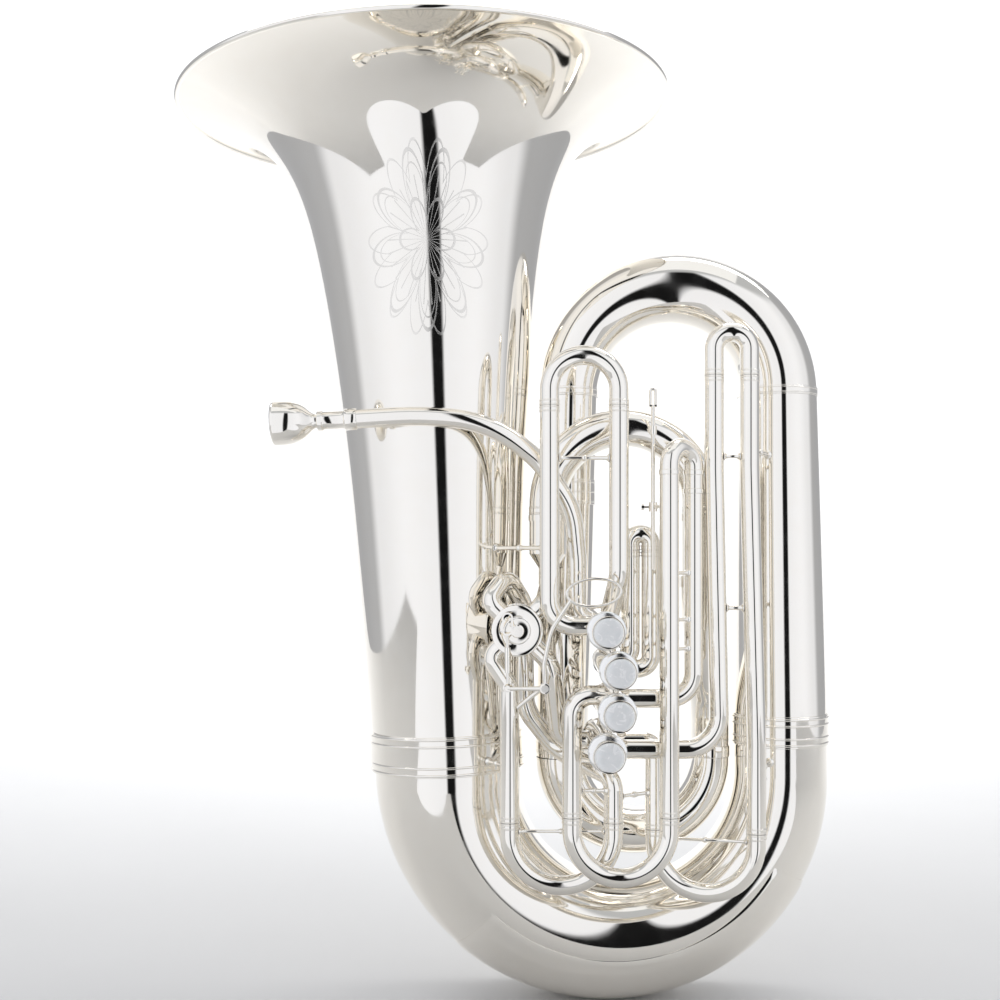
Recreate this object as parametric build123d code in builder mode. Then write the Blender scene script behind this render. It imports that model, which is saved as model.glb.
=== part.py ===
from build123d import *
from math import cos, hypot, radians, sin
import os

# Tuba with four front-action piston valves, one rotary valve and a 20-inch bell.
# Millimetres. +Z is up towards the bell mouth. -Y is the side where the valves and the finger buttons are.
# The mouthpiece points to -X, towards the player.
# The origin is under the middle of the bottom bow, at the lowest point of the bow guard.

# ---------------------------------------------------------------- main bugle
WALL = 0.8
BOW_RADIUS = 173.2
BOW_CENTRE_Z = 235.0
BOW_TUBE = (76.0, 61.0, 48.5)
GUARD_THICKNESS = 1.6
BELL_LEAN = 2.02
BELL_RIM_RADIUS = 251.5
BELL_START = 30.0
BELL_LENGTH = 698.0
BEAD_RADIUS = 2.6
BRANCH_START_Z = 280.0
TOP_BOW_RADIUS = 109.0
TOP_BOW_CENTRE_X = 61.5
TOP_BOW_CENTRE_Z = 628.7
TOP_BOW_TUBE = (41.0, 36.0, 30.0)
INNER_BOW_CENTRE_X = 22.75
INNER_BOW_CENTRE_Z = 250.0
INNER_BOW_RADIUS = 77.25
INNER_BOW_TUBE = (27.5, 24.0, 20.0)

# Distance up the bell axis and outer radius of the bell wall, from the ferrule to the flare
BELL_PROFILE = [
    (BELL_START, 77.2),
    (120.0, 82.0),
    (210.0, 86.6),
    (290.0, 91.0),
    (370.0, 97.0),
    (440.0, 104.0),
    (500.0, 111.8),
    (561.0, 122.5),
    (603.0, 134.0),
    (643.0, 154.5),
    (668.0, 180.0),
    (685.0, 209.0),
    (694.5, 235.0),
    (BELL_LENGTH, BELL_RIM_RADIUS - 1.5),
]

# ---------------------------------------------------------------- slide tubing
SLEEVE_R = 9.4
SLEEVE_BORE = 8.85
LEG_R = 8.8
LEG_BORE = 8.3
COLLAR_R = 10.1
COLLAR_LENGTH = 6.0
FRONT_Y = -122.0
MIDDLE_Y = -97.0
BACK_Y = -75.0
STOP_GAP = 0.3

# ---------------------------------------------------------------- valves
VALVES = [(-18.2, 390.0), (-7.1, 353.0), (-8.0, 314.0), (-17.3, 277.0)]
CASING_FRONT_Y = -152.0
CASING_BACK_Y = -33.0
CASING_R = 16.6
CASING_BORE = 15.25
PISTON_R = 15.2
PISTON_FRONT_Y = -148.0
PISTON_BACK_Y = -60.0
VALVE_TRAVEL = 16.0
CAP_R = 18.2
CAP_FRONT_Y = -160.0
STEM_R = 3.4
BUTTON_R = 15.0
BUTTON_BACK_Y = -179.5
BUTTON_FRONT_Y = -183.0
PEARL_R = 13.2
PORTS_Y = (-122.0, -97.0, -75.0)

# ---------------------------------------------------------------- rotary valve
ROTOR_X = -101.0
ROTOR_Z = 387.5
ROTOR_CASING_R = 24.0
ROTOR_BORE = 21.05
ROTOR_R = 21.0
ROTOR_FRONT_Y = -114.0
ROTOR_BACK_Y = -74.0
STOP_ARM_LENGTH = 10.5
LEVER_X = -75.0
LEVER_Z = 335.0
LEVER_Y = -140.0
LINK_Y = -130.0
SHORT_ARM_LENGTH = 35.0

# ---------------------------------------------------------------- main tuning slide
MAIN_Y = -60.0
MAIN_LEFT_X = -70.4
MAIN_RIGHT_X = 81.6
MAIN_R = 18.0
MAIN_BORE = 17.4
MAIN_SLEEVE_R = 18.7
MAIN_SLEEVE_BORE = 18.05
MAIN_JOINT_Z = 500.0
MAIN_CROOK_Z = 511.0


def round_path(points, radii):
    """A path of straight runs joined by tangent arcs."""
    with BuildLine(mode=Mode.PRIVATE) as path:
        if len(points) == 2:
            Line(*points)
        else:
            FilletPolyline(*points, radius=radii)
    return path.wire()


def bent_tube(points, radii, outer, bore=None):
    """A round tube, or a rod when it has no bore, along a path of runs and arcs."""
    path = round_path(points, radii)
    with BuildSketch(Plane(origin=path @ 0, z_dir=path % 0)) as section:
        Circle(outer)
        if bore:
            Circle(bore, mode=Mode.SUBTRACT)
    sweep(section.sketch, path=path)


def rod(start, end, radius, mode=Mode.ADD):
    """A straight round rod between two points."""
    run = Vector(*end) - Vector(*start)
    with BuildSketch(Plane(origin=start, z_dir=run)) as section:
        Circle(radius)
    extrude(section.sketch, amount=run.length, mode=mode)


def ring(centre, direction, outer, bore, length):
    """A short straight tube about a centre point."""
    axis = Vector(*direction).normalized()
    with BuildSketch(Plane(origin=Vector(*centre) - axis * (length / 2), z_dir=axis)) as section:
        Circle(outer)
        Circle(bore, mode=Mode.SUBTRACT)
    extrude(section.sketch, amount=length)


def taper(stations, wall):
    """A conical tube lofted through (plane, outer radius) stations, with an even wall."""
    shells = []
    for shrink in (0.0, wall):
        sections = []
        for plane, radius in stations:
            with BuildSketch(plane) as section:
                Circle(radius - shrink)
            sections.append(section.sketch.face())
        shells.append(loft(sections, mode=Mode.PRIVATE))
    add(shells[0] - shells[1])


def bow_stations(centre_x, centre_z, radius, start, end, tube, count):
    """Circles along a bow from one angle to another, where the tube radius passes through three values."""
    stations = []
    for i in range(count):
        t = i / (count - 1)
        angle = radians(start + (end - start) * t)
        turn = 1 if end > start else -1
        centre = (centre_x + radius * cos(angle), 0, centre_z + radius * sin(angle))
        along = (-sin(angle) * turn, 0, cos(angle) * turn)
        first, middle, last = tube
        size = first * (1 - t) * (1 - 2 * t) + 4 * middle * t * (1 - t) + last * t * (2 * t - 1)
        stations.append((Plane(origin=centre, x_dir=(0, 1, 0), z_dir=along), size))
    return stations


def clear_casing(index, radius=CASING_R):
    """Cuts the tubes of the part in hand back to the outside of one valve casing."""
    x, z = VALVES[index]
    rod((x, CASING_FRONT_Y - 5, z), (x, CASING_BACK_Y + 5, z), radius, mode=Mode.SUBTRACT)


def slide_leg(x, y, joint_z, length, down=True):
    """An inner leg of a slide, with the collar that meets the end of its sleeve."""
    end_z = joint_z - length if down else joint_z + length
    ring((x, y, (joint_z + end_z) / 2), (0, 0, 1), LEG_R, LEG_BORE, length)
    sign = 1 if down else -1
    ring((x, y, joint_z + sign * (STOP_GAP + COLLAR_LENGTH / 2)), (0, 0, 1), COLLAR_R, LEG_BORE, COLLAR_LENGTH)


# ================================================================ bell and bows
lean = radians(BELL_LEAN)
bell_foot = (-BOW_RADIUS * cos(lean), 0, BOW_CENTRE_Z - BOW_RADIUS * sin(lean))
bell_axis = Vector(-sin(lean), 0, cos(lean))
profile_plane = Plane(origin=bell_foot, x_dir=(cos(lean), 0, sin(lean)), z_dir=(0, -1, 0))


def on_bell_axis(distance):
    """A point on the bell's centre line."""
    return Vector(*bell_foot) + bell_axis * distance


with BuildPart() as bell:
    with BuildSketch(profile_plane):
        with BuildLine():
            outside = Spline(*[(r, h) for h, r in BELL_PROFILE])
            inside = Spline(*[(r - WALL, h + WALL * min(1.0, r / 400)) for h, r in BELL_PROFILE])
            Line(outside @ 0, inside @ 0)
            Line(outside @ 1, inside @ 1)
        make_face()
    revolve(axis=Axis(bell_foot, tuple(bell_axis)))

with BuildPart() as bell_rim_bead:
    with BuildSketch(profile_plane):
        with Locations((BELL_RIM_RADIUS, BELL_LENGTH + 0.4)):
            Circle(BEAD_RADIUS)
        with Locations((BELL_RIM_RADIUS - 3.9, BELL_LENGTH)):
            Rectangle(5.4, 3.4, mode=Mode.SUBTRACT)
    revolve(axis=Axis(bell_foot, tuple(bell_axis)))

with BuildPart() as bell_ferrule:
    ring(on_bell_axis(31), bell_axis, 80.2, 78.7, 40)
    for offset in (13, 21, 41, 49):
        ring(on_bell_axis(offset), bell_axis, 81.2, 78.7, 2.4)
    ring(on_bell_axis(20), bell_axis, 80.0, BOW_TUBE[0] + 0.05, 18)

with BuildPart() as bottom_bow:
    taper(bow_stations(0, BOW_CENTRE_Z, BOW_RADIUS, 180 + BELL_LEAN, 360, BOW_TUBE, 13), WALL)
    stub = BELL_START - 0.2
    ring(on_bell_axis(stub / 2), bell_axis, BOW_TUBE[0], BOW_TUBE[0] - WALL, stub)
    ring((BOW_RADIUS, 0, BOW_CENTRE_Z + 22), (0, 0, 1), BOW_TUBE[2], BOW_TUBE[2] - WALL, 44)

# The guard is a thicker skin over the outer half of the lower bow, with a small flat to stand on
guard_low = BOW_CENTRE_Z - BOW_RADIUS - BOW_TUBE[1] - GUARD_THICKNESS
with BuildPart() as bottom_bow_guard:
    outer = [r + GUARD_THICKNESS for r in BOW_TUBE]
    around = bow_stations(0, BOW_CENTRE_Z, BOW_RADIUS, 180 + BELL_LEAN, 360, outer, 13)[3:11]
    taper(around, GUARD_THICKNESS - 0.05)
    with BuildSketch(Plane.XZ.offset(-110)):
        with Locations((0, BOW_CENTRE_Z)):
            Circle(BOW_RADIUS + 8)
    extrude(amount=220, mode=Mode.SUBTRACT)
    with BuildSketch(Plane.XY.offset(guard_low - 1)):
        Rectangle(160, 160)
    extrude(amount=1 - guard_low, mode=Mode.SUBTRACT)

with BuildPart() as bow_ferrule_right:
    ring((BOW_RADIUS, 0, BRANCH_START_Z), (0, 0, 1), BOW_TUBE[2] + 1.5, BOW_TUBE[2] + 0.05, 32)
    for offset in (-13, -6, 6, 13):
        ring((BOW_RADIUS, 0, BRANCH_START_Z + offset), (0, 0, 1), BOW_TUBE[2] + 2.5, BOW_TUBE[2] + 0.05, 2.4)

# ================================================================ branches and top bow
right_leg_x = TOP_BOW_CENTRE_X + TOP_BOW_RADIUS
left_leg_x = TOP_BOW_CENTRE_X - TOP_BOW_RADIUS
inner_left_x = INNER_BOW_CENTRE_X - INNER_BOW_RADIUS
inner_right_x = INNER_BOW_CENTRE_X + INNER_BOW_RADIUS


def upright(x, z, y=0.0):
    """A level plane on a leg's centre line."""
    return Plane(origin=(x, y, z), x_dir=(1, 0, 0), z_dir=(0, 0, 1))


with BuildPart() as large_branch:
    low = upright(BOW_RADIUS, BRANCH_START_Z)
    collar = upright(BOW_RADIUS, BRANCH_START_Z + 18)
    high = upright(right_leg_x, TOP_BOW_CENTRE_Z - 0.2)
    taper([(collar, BOW_TUBE[2]), (high, TOP_BOW_TUBE[0])], WALL)
    taper([(low, BOW_TUBE[2]), (collar, BOW_TUBE[2])], WALL)

with BuildPart() as top_bow:
    taper(bow_stations(TOP_BOW_CENTRE_X, TOP_BOW_CENTRE_Z, TOP_BOW_RADIUS, 0, 180, TOP_BOW_TUBE, 11), WALL)

with BuildPart() as top_bow_ferrules:
    for x, radius in ((right_leg_x, TOP_BOW_TUBE[0]), (left_leg_x, TOP_BOW_TUBE[2])):
        ring((x, 0, TOP_BOW_CENTRE_Z), (0, 0, 1), radius + 1.4, radius + 0.45, 9)

left_length = TOP_BOW_CENTRE_Z - INNER_BOW_CENTRE_Z
branch_ferrule_z = 525.0


def on_left_branch(z):
    """Centre and radius of the left branch at a height."""
    t = (TOP_BOW_CENTRE_Z - z) / left_length
    x = left_leg_x + (inner_left_x - left_leg_x) * t
    return x, TOP_BOW_TUBE[2] + (INNER_BOW_TUBE[0] - TOP_BOW_TUBE[2]) * t


with BuildPart() as left_branch:
    taper(
        [
            (upright(inner_left_x, INNER_BOW_CENTRE_Z + 0.2), INNER_BOW_TUBE[0]),
            (upright(left_leg_x, TOP_BOW_CENTRE_Z - 0.2), TOP_BOW_TUBE[2]),
        ],
        WALL,
    )

with BuildPart() as branch_ferrules:
    for z in (branch_ferrule_z - 8, branch_ferrule_z, branch_ferrule_z + 8):
        x, radius = on_left_branch(z)
        ring((x, 0, z), (0, 0, 1), radius + 1.5, radius + 0.2, 3)
    x, radius = on_left_branch(INNER_BOW_CENTRE_Z + 12)
    ring((x, 0, INNER_BOW_CENTRE_Z + 12), (0, 0, 1), radius + 1.5, radius + 0.45, 14)

with BuildPart() as inner_bottom_bow:
    taper(
        bow_stations(
            INNER_BOW_CENTRE_X, INNER_BOW_CENTRE_Z, INNER_BOW_RADIUS, 180, 360, INNER_BOW_TUBE, 11
        ),
        WALL,
    )

inner_branch_path = [
    (inner_right_x, 0, INNER_BOW_CENTRE_Z + 0.2),
    (inner_right_x, 0, 305),
    (MAIN_RIGHT_X, MAIN_Y, 405),
    (MAIN_RIGHT_X, MAIN_Y, 434.8),
]
with BuildPart() as inner_branch:
    bent_tube(inner_branch_path, 60, INNER_BOW_TUBE[2], INNER_BOW_TUBE[2] - WALL)

# ================================================================ main tuning slide
main_left_foot_z = 461.0
with BuildPart() as main_slide_sleeves:
    for x, foot in ((MAIN_LEFT_X, main_left_foot_z), (MAIN_RIGHT_X, 435.0)):
        middle = (x, MAIN_Y, (foot + MAIN_JOINT_Z) / 2)
        ring(middle, (0, 0, 1), MAIN_SLEEVE_R, MAIN_SLEEVE_BORE, MAIN_JOINT_Z - foot)
        ring((x, MAIN_Y, MAIN_JOINT_Z - 3), (0, 0, 1), MAIN_SLEEVE_R + 0.9, MAIN_SLEEVE_BORE, 6)
    ring((MAIN_RIGHT_X, MAIN_Y, 432), (0, 0, 1), INNER_BOW_TUBE[2] + 1.1, INNER_BOW_TUBE[2] + 0.05, 8)
    ring((MAIN_RIGHT_X, MAIN_Y, 437.5), (0, 0, 1), INNER_BOW_TUBE[2] + 1.1, MAIN_SLEEVE_BORE, 3)
    taper(
        [
            (upright(MAIN_LEFT_X, main_left_foot_z - 14, MAIN_Y), SLEEVE_R),
            (upright(MAIN_LEFT_X, main_left_foot_z, MAIN_Y), MAIN_SLEEVE_R),
        ],
        0.55,
    )
    bent_tube(
        [
            (ROTOR_X + 17.3, -94, ROTOR_Z + 17.3),
            (ROTOR_X + 26.5, -94, ROTOR_Z + 26.5),
            (MAIN_LEFT_X, MAIN_Y - 3, main_left_foot_z - 32),
            (MAIN_LEFT_X, MAIN_Y, main_left_foot_z - 14),
        ],
        [12, 14],
        SLEEVE_R,
        SLEEVE_BORE,
    )
    rod((ROTOR_X, -130, ROTOR_Z), (ROTOR_X, -60, ROTOR_Z), ROTOR_CASING_R, mode=Mode.SUBTRACT)

main_centre_x = (MAIN_LEFT_X + MAIN_RIGHT_X) / 2
main_radius = (MAIN_RIGHT_X - MAIN_LEFT_X) / 2
PULL_X = 31.5
PULL_Y = -90.0
with BuildPart() as main_tuning_slide:
    crook_low = MAIN_JOINT_Z + STOP_GAP
    with BuildLine(mode=Mode.PRIVATE) as crook:
        Line((MAIN_LEFT_X, MAIN_Y, crook_low), (MAIN_LEFT_X, MAIN_Y, MAIN_CROOK_Z))
        ThreePointArc(
            (MAIN_LEFT_X, MAIN_Y, MAIN_CROOK_Z),
            (main_centre_x, MAIN_Y, MAIN_CROOK_Z + main_radius),
            (MAIN_RIGHT_X, MAIN_Y, MAIN_CROOK_Z),
        )
        Line((MAIN_RIGHT_X, MAIN_Y, MAIN_CROOK_Z), (MAIN_RIGHT_X, MAIN_Y, crook_low))
    with BuildSketch(upright(MAIN_LEFT_X, crook_low, MAIN_Y)) as section:
        Circle(MAIN_SLEEVE_R - 0.1)
        Circle(MAIN_BORE, mode=Mode.SUBTRACT)
    sweep(section.sketch, path=crook.wire())
    for x in (MAIN_LEFT_X, MAIN_RIGHT_X):
        ring((x, MAIN_Y, MAIN_JOINT_Z - 16), (0, 0, 1), MAIN_R, MAIN_BORE, 34)
        ring((x, MAIN_Y, crook_low + 3), (0, 0, 1), MAIN_SLEEVE_R + 0.9, MAIN_BORE, 6)

# The pull rod stands on the front of the crook and ends in a loop for the hand
pull_foot_z = 582.0
with BuildPart() as pull_rod:
    rod((PULL_X, PULL_Y, 446), (PULL_X, PULL_Y, 607), 2.0)
    rod((PULL_X, PULL_Y, pull_foot_z), (PULL_X, MAIN_Y - MAIN_SLEEVE_R - 0.9, pull_foot_z), 3.0)
    ring((PULL_X, PULL_Y, pull_foot_z), (0, 0, 1), 3.6, 1.9, 8)
    loop = [(PULL_X - 2.6, 606), (PULL_X - 2.6, 622), (PULL_X + 2.6, 622), (PULL_X + 2.6, 606)]
    bent_tube([(x, PULL_Y, z) for x, z in loop], 2.5, 1.5)
    rod((PULL_X - 3.6, PULL_Y, 606), (PULL_X + 3.6, PULL_Y, 606), 1.6)

with BuildPart() as pull_rod_guide:
    ring((PULL_X, PULL_Y, 507), (0, 0, 1), 4.2, 2.05, 9)
    rod((PULL_X + 2.4, PULL_Y - 3.0, 507), (43.7, FRONT_Y, 507), 1.8)
    rod((43.7, FRONT_Y, 490), (43.7, FRONT_Y, 525), SLEEVE_R, mode=Mode.SUBTRACT)
    rod((PULL_X - 3.4, PULL_Y, 507), (PULL_X - 10.5, PULL_Y, 507), 1.3)
    rod((PULL_X - 9.0, PULL_Y, 507), (PULL_X - 11.5, PULL_Y, 507), 3.0)

# ================================================================ valve block
with BuildPart() as valve_casings:
    for x, z in VALVES:
        middle = (x, (CASING_FRONT_Y + CASING_BACK_Y) / 2, z)
        ring(middle, (0, 1, 0), CASING_R, CASING_BORE, CASING_BACK_Y - CASING_FRONT_Y)
    for (x0, z0), (x1, z1) in zip(VALVES, VALVES[1:]):
        rod((x0, BACK_Y, z0), (x1, BACK_Y, z1), SLEEVE_BORE - 0.4, mode=Mode.SUBTRACT)
    for x, z, y in ((-45, 392.7, FRONT_Y), (-45, 327.0, FRONT_Y), (-45, 277.0, BACK_Y)):
        rod((x, y, z), (-22, y, z), SLEEVE_BORE - 0.4, mode=Mode.SUBTRACT)
    for x, z, y in ((20, 351.0, BACK_Y), (20, 321.0, MIDDLE_Y), (20, 271.7, MIDDLE_Y), (20, 277.0, BACK_Y)):
        rod((x, y, z), (-6, y, z), SLEEVE_BORE - 0.4, mode=Mode.SUBTRACT)

with BuildPart() as valve_top_caps:
    for x, z in VALVES:
        ring((x, (CASING_FRONT_Y - 0.2 + CAP_FRONT_Y) / 2, z), (0, 1, 0), CAP_R, STEM_R + 0.6, 7.8)
        ring((x, CASING_FRONT_Y + 2.8, z), (0, 1, 0), CAP_R, CASING_R + 0.1, 6)
        ring((x, CAP_FRONT_Y - 1.2, z), (0, 1, 0), 9.5, STEM_R + 0.6, 2.4)

with BuildPart() as valve_bottom_caps:
    for x, z in VALVES:
        ring((x, CASING_BACK_Y - 3.2, z), (0, 1, 0), CASING_R + 0.9, CASING_R + 0.1, 6)
        rod((x, CASING_BACK_Y + 0.2, z), (x, CASING_BACK_Y + 2.6, z), CASING_R + 0.9)
        ring((x, CASING_BACK_Y, z), (0, 1, 0), CASING_R + 0.9, CASING_R + 0.1, 0.8)

with BuildPart() as crossover_tubes:
    for (x0, z0), (x1, z1) in zip(VALVES, VALVES[1:]):
        run = Vector(x1 - x0, 0, z1 - z0)
        middle = ((x0 + x1) / 2, BACK_Y, (z0 + z1) / 2)
        ring(middle, run, SLEEVE_R, SLEEVE_BORE, run.length - 8)
    for index in range(4):
        clear_casing(index)
    bent_tube(
        [
            (-24, BACK_Y, 277),
            (-60, BACK_Y, 279),
            (-67, -92, 345),
            (ROTOR_X + 30, -94, ROTOR_Z - 30),
            (ROTOR_X + 17, -94, ROTOR_Z - 17),
        ],
        [15, 14, 12],
        SLEEVE_R,
        SLEEVE_BORE,
    )
    clear_casing(3)
    rod((ROTOR_X, -130, ROTOR_Z), (ROTOR_X, -60, ROTOR_Z), ROTOR_CASING_R, mode=Mode.SUBTRACT)


def make_piston(index):
    """A hollow piston with three cross passages, closed at both ends."""
    x, z = VALVES[index]
    length = PISTON_BACK_Y - PISTON_FRONT_Y
    ring((x, (PISTON_FRONT_Y + PISTON_BACK_Y) / 2, z), (0, 1, 0), PISTON_R, PISTON_R - 0.9, length)
    for start in (PISTON_FRONT_Y, PISTON_BACK_Y - 1.5):
        rod((x, start, z), (x, start + 1.5, z), PISTON_R - 0.4)
    for y, angle in zip(PORTS_Y, (12, 0, 90)):
        along = Vector(cos(radians(angle)), 0, sin(radians(angle))) * (PISTON_R - 1.4)
        centre = Vector(x, y, z)
        rod(tuple(centre - along), tuple(centre + along), SLEEVE_R)
    rod((x, PISTON_FRONT_Y, z), (x, PISTON_BACK_Y, z), PISTON_R, mode=Mode.INTERSECT)
    for y, angle in zip(PORTS_Y, (12, 0, 90)):
        along = Vector(cos(radians(angle)), 0, sin(radians(angle))) * (PISTON_R + 1)
        centre = Vector(x, y, z)
        rod(tuple(centre - along), tuple(centre + along), SLEEVE_BORE - 0.4, mode=Mode.SUBTRACT)


def make_button(index):
    """The stem and the metal dish of a finger button."""
    x, z = VALVES[index]
    rod((x, PISTON_FRONT_Y - 0.1, z), (x, BUTTON_BACK_Y, z), STEM_R)
    rod((x, BUTTON_BACK_Y, z), (x, BUTTON_FRONT_Y, z), BUTTON_R)
    rod((x, BUTTON_BACK_Y + 0.8, z), (x, BUTTON_BACK_Y, z), 6.5)
    rod((x, BUTTON_FRONT_Y + 1.3, z), (x, BUTTON_FRONT_Y - 1, z), PEARL_R + 0.1, mode=Mode.SUBTRACT)


def make_pearl(index):
    """The pearl disc set in a finger button, with a rounded front edge."""
    x, z = VALVES[index]
    rod((x, BUTTON_FRONT_Y + 1.25, z), (x, BUTTON_FRONT_Y - 1.0, z), PEARL_R)
    fillet(edges().sort_by(Axis.Y)[0], 0.9)


def make_spring(index):
    """The return spring between a piston and its bottom cap, as closed turns joined by a thin sleeve."""
    x, z = VALVES[index]
    turns = 7
    start = PISTON_BACK_Y + 0.8
    pitch = (CASING_BACK_Y - 0.8 - start) / (turns - 1)
    for i in range(turns):
        with BuildSketch(Plane(origin=(x, 0, z), x_dir=(1, 0, 0), z_dir=(0, 0, 1))) as section:
            with Locations((12.0, start + pitch * i)):
                Circle(0.7)
        revolve(section.sketch, axis=Axis((x, 0, z), (0, 1, 0)))
    ring((x, (start + CASING_BACK_Y - 0.8) / 2, z), (0, 1, 0), 12.2, 11.8, CASING_BACK_Y - 0.8 - start)


piston_parts = []
for index in range(4):
    with BuildPart() as piston:
        make_piston(index)
    with BuildPart() as button:
        make_button(index)
    with BuildPart() as pearl:
        make_pearl(index)
    with BuildPart() as spring:
        make_spring(index)
    number = index + 1
    piston_parts.append((piston, f"piston_{number}"))
    piston_parts.append((button, f"finger_button_{number}"))
    piston_parts.append((pearl, f"button_pearl_{number}"))
    piston_parts.append((spring, f"valve_spring_{number}"))

# ================================================================ first valve slide
FIRST_LEFT_X = -70.3
FIRST_RIGHT_X = -4.2
FIRST_JOINT_Z = 602.0
FIRST_CROOK_Z = 617.4
with BuildPart() as first_slide_sleeves:
    bent_tube(
        [
            (FIRST_LEFT_X, FRONT_Y, FIRST_JOINT_Z),
            (FIRST_LEFT_X, FRONT_Y, 392.7),
            (-26, FRONT_Y, 392.7),
        ],
        25,
        SLEEVE_R,
        SLEEVE_BORE,
    )
    bent_tube(
        [
            (FIRST_RIGHT_X, FRONT_Y, FIRST_JOINT_Z),
            (FIRST_RIGHT_X, FRONT_Y, 440),
            (-12, MIDDLE_Y, 400),
            (-14, MIDDLE_Y, 392),
        ],
        [28, 12],
        SLEEVE_R,
        SLEEVE_BORE,
    )
    for x in (FIRST_LEFT_X, FIRST_RIGHT_X):
        ring((x, FRONT_Y, FIRST_JOINT_Z - 3), (0, 0, 1), COLLAR_R, SLEEVE_BORE, 6)
    clear_casing(0)


def crook_over(left, right, joint_z, crook_z, outer, bore):
    """A half-round crook between two (x, y) legs, with the straight parts that reach its joints."""
    (x0, y0), (x1, y1) = left, right
    radius = hypot(x1 - x0, y1 - y0) / 2
    up = 1 if crook_z > joint_z else -1
    gap = up * STOP_GAP
    with BuildLine(mode=Mode.PRIVATE) as path:
        Line((x0, y0, joint_z + gap), (x0, y0, crook_z))
        ThreePointArc(
            (x0, y0, crook_z), ((x0 + x1) / 2, (y0 + y1) / 2, crook_z + up * radius), (x1, y1, crook_z)
        )
        Line((x1, y1, crook_z), (x1, y1, joint_z + gap))
    with BuildSketch(Plane(origin=(x0, y0, joint_z + gap), z_dir=(0, 0, up))) as section:
        Circle(outer)
        Circle(bore, mode=Mode.SUBTRACT)
    sweep(section.sketch, path=path.wire())


def slide(left, right, joint_z, crook_z, legs):
    """A whole slide: crook, collars and the two inner legs. The legs point away from the crook."""
    crook_over(left, right, joint_z, crook_z, SLEEVE_R - 0.1, LEG_BORE)
    for (x, y), length in zip((left, right), legs):
        slide_leg(x, y, joint_z, length, down=crook_z > joint_z)


with BuildPart() as first_slide:
    slide((FIRST_LEFT_X, FRONT_Y), (FIRST_RIGHT_X, FRONT_Y), FIRST_JOINT_Z, FIRST_CROOK_Z, (135, 135))

# ================================================================ second valve slide
SECOND_LEFT_X = 10.6
SECOND_RIGHT_X = 30.6
SECOND_JOINT_Z = 464.0
SECOND_CROOK_Z = 471.0
with BuildPart() as second_slide_sleeves:
    bent_tube(
        [(SECOND_LEFT_X, BACK_Y, SECOND_JOINT_Z), (SECOND_LEFT_X, BACK_Y, 364), (0, BACK_Y, 349)],
        12,
        SLEEVE_R,
        SLEEVE_BORE,
    )
    bent_tube(
        [(SECOND_RIGHT_X, BACK_Y, SECOND_JOINT_Z), (SECOND_RIGHT_X, BACK_Y, 346), (0, BACK_Y, 350)],
        13,
        SLEEVE_R,
        SLEEVE_BORE,
    )
    clear_casing(1)
with BuildPart() as second_slide:
    slide((SECOND_LEFT_X, BACK_Y), (SECOND_RIGHT_X, BACK_Y), SECOND_JOINT_Z, SECOND_CROOK_Z, (60, 60))

# ================================================================ third valve slide
THIRD_LEFT_X = -48.9
THIRD_RIGHT_X = 43.7
THIRD_BACK_X = 70.0
THIRD_JOINT_Z = 210.9
THIRD_CROOK_Z = 198.9
with BuildPart() as third_slide_sleeves:
    bent_tube(
        [(THIRD_LEFT_X, FRONT_Y, THIRD_JOINT_Z), (THIRD_LEFT_X, FRONT_Y, 327), (-16, FRONT_Y, 327)],
        19,
        SLEEVE_R,
        SLEEVE_BORE,
    )
    bent_tube(
        [
            (THIRD_RIGHT_X, FRONT_Y, THIRD_JOINT_Z),
            (THIRD_RIGHT_X, FRONT_Y, 563.0),
            (THIRD_BACK_X, MIDDLE_Y, 563.0),
            (THIRD_BACK_X, MIDDLE_Y, 321),
            (0, MIDDLE_Y, 321),
        ],
        [18.0, 18.0, 25],
        SLEEVE_R,
        SLEEVE_BORE,
    )
    ring((THIRD_RIGHT_X, FRONT_Y, 539), (0, 0, 1), COLLAR_R, SLEEVE_BORE, 5)
    for z in (522, 540):
        ring((THIRD_BACK_X, MIDDLE_Y, z), (0, 0, 1), COLLAR_R, SLEEVE_BORE, 5)
    for x in (THIRD_LEFT_X, THIRD_RIGHT_X):
        ring((x, FRONT_Y, THIRD_JOINT_Z + 3), (0, 0, 1), COLLAR_R, SLEEVE_BORE, 6)
    clear_casing(2)
with BuildPart() as third_slide:
    slide((THIRD_LEFT_X, FRONT_Y), (THIRD_RIGHT_X, FRONT_Y), THIRD_JOINT_Z, THIRD_CROOK_Z, (80, 80))

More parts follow.
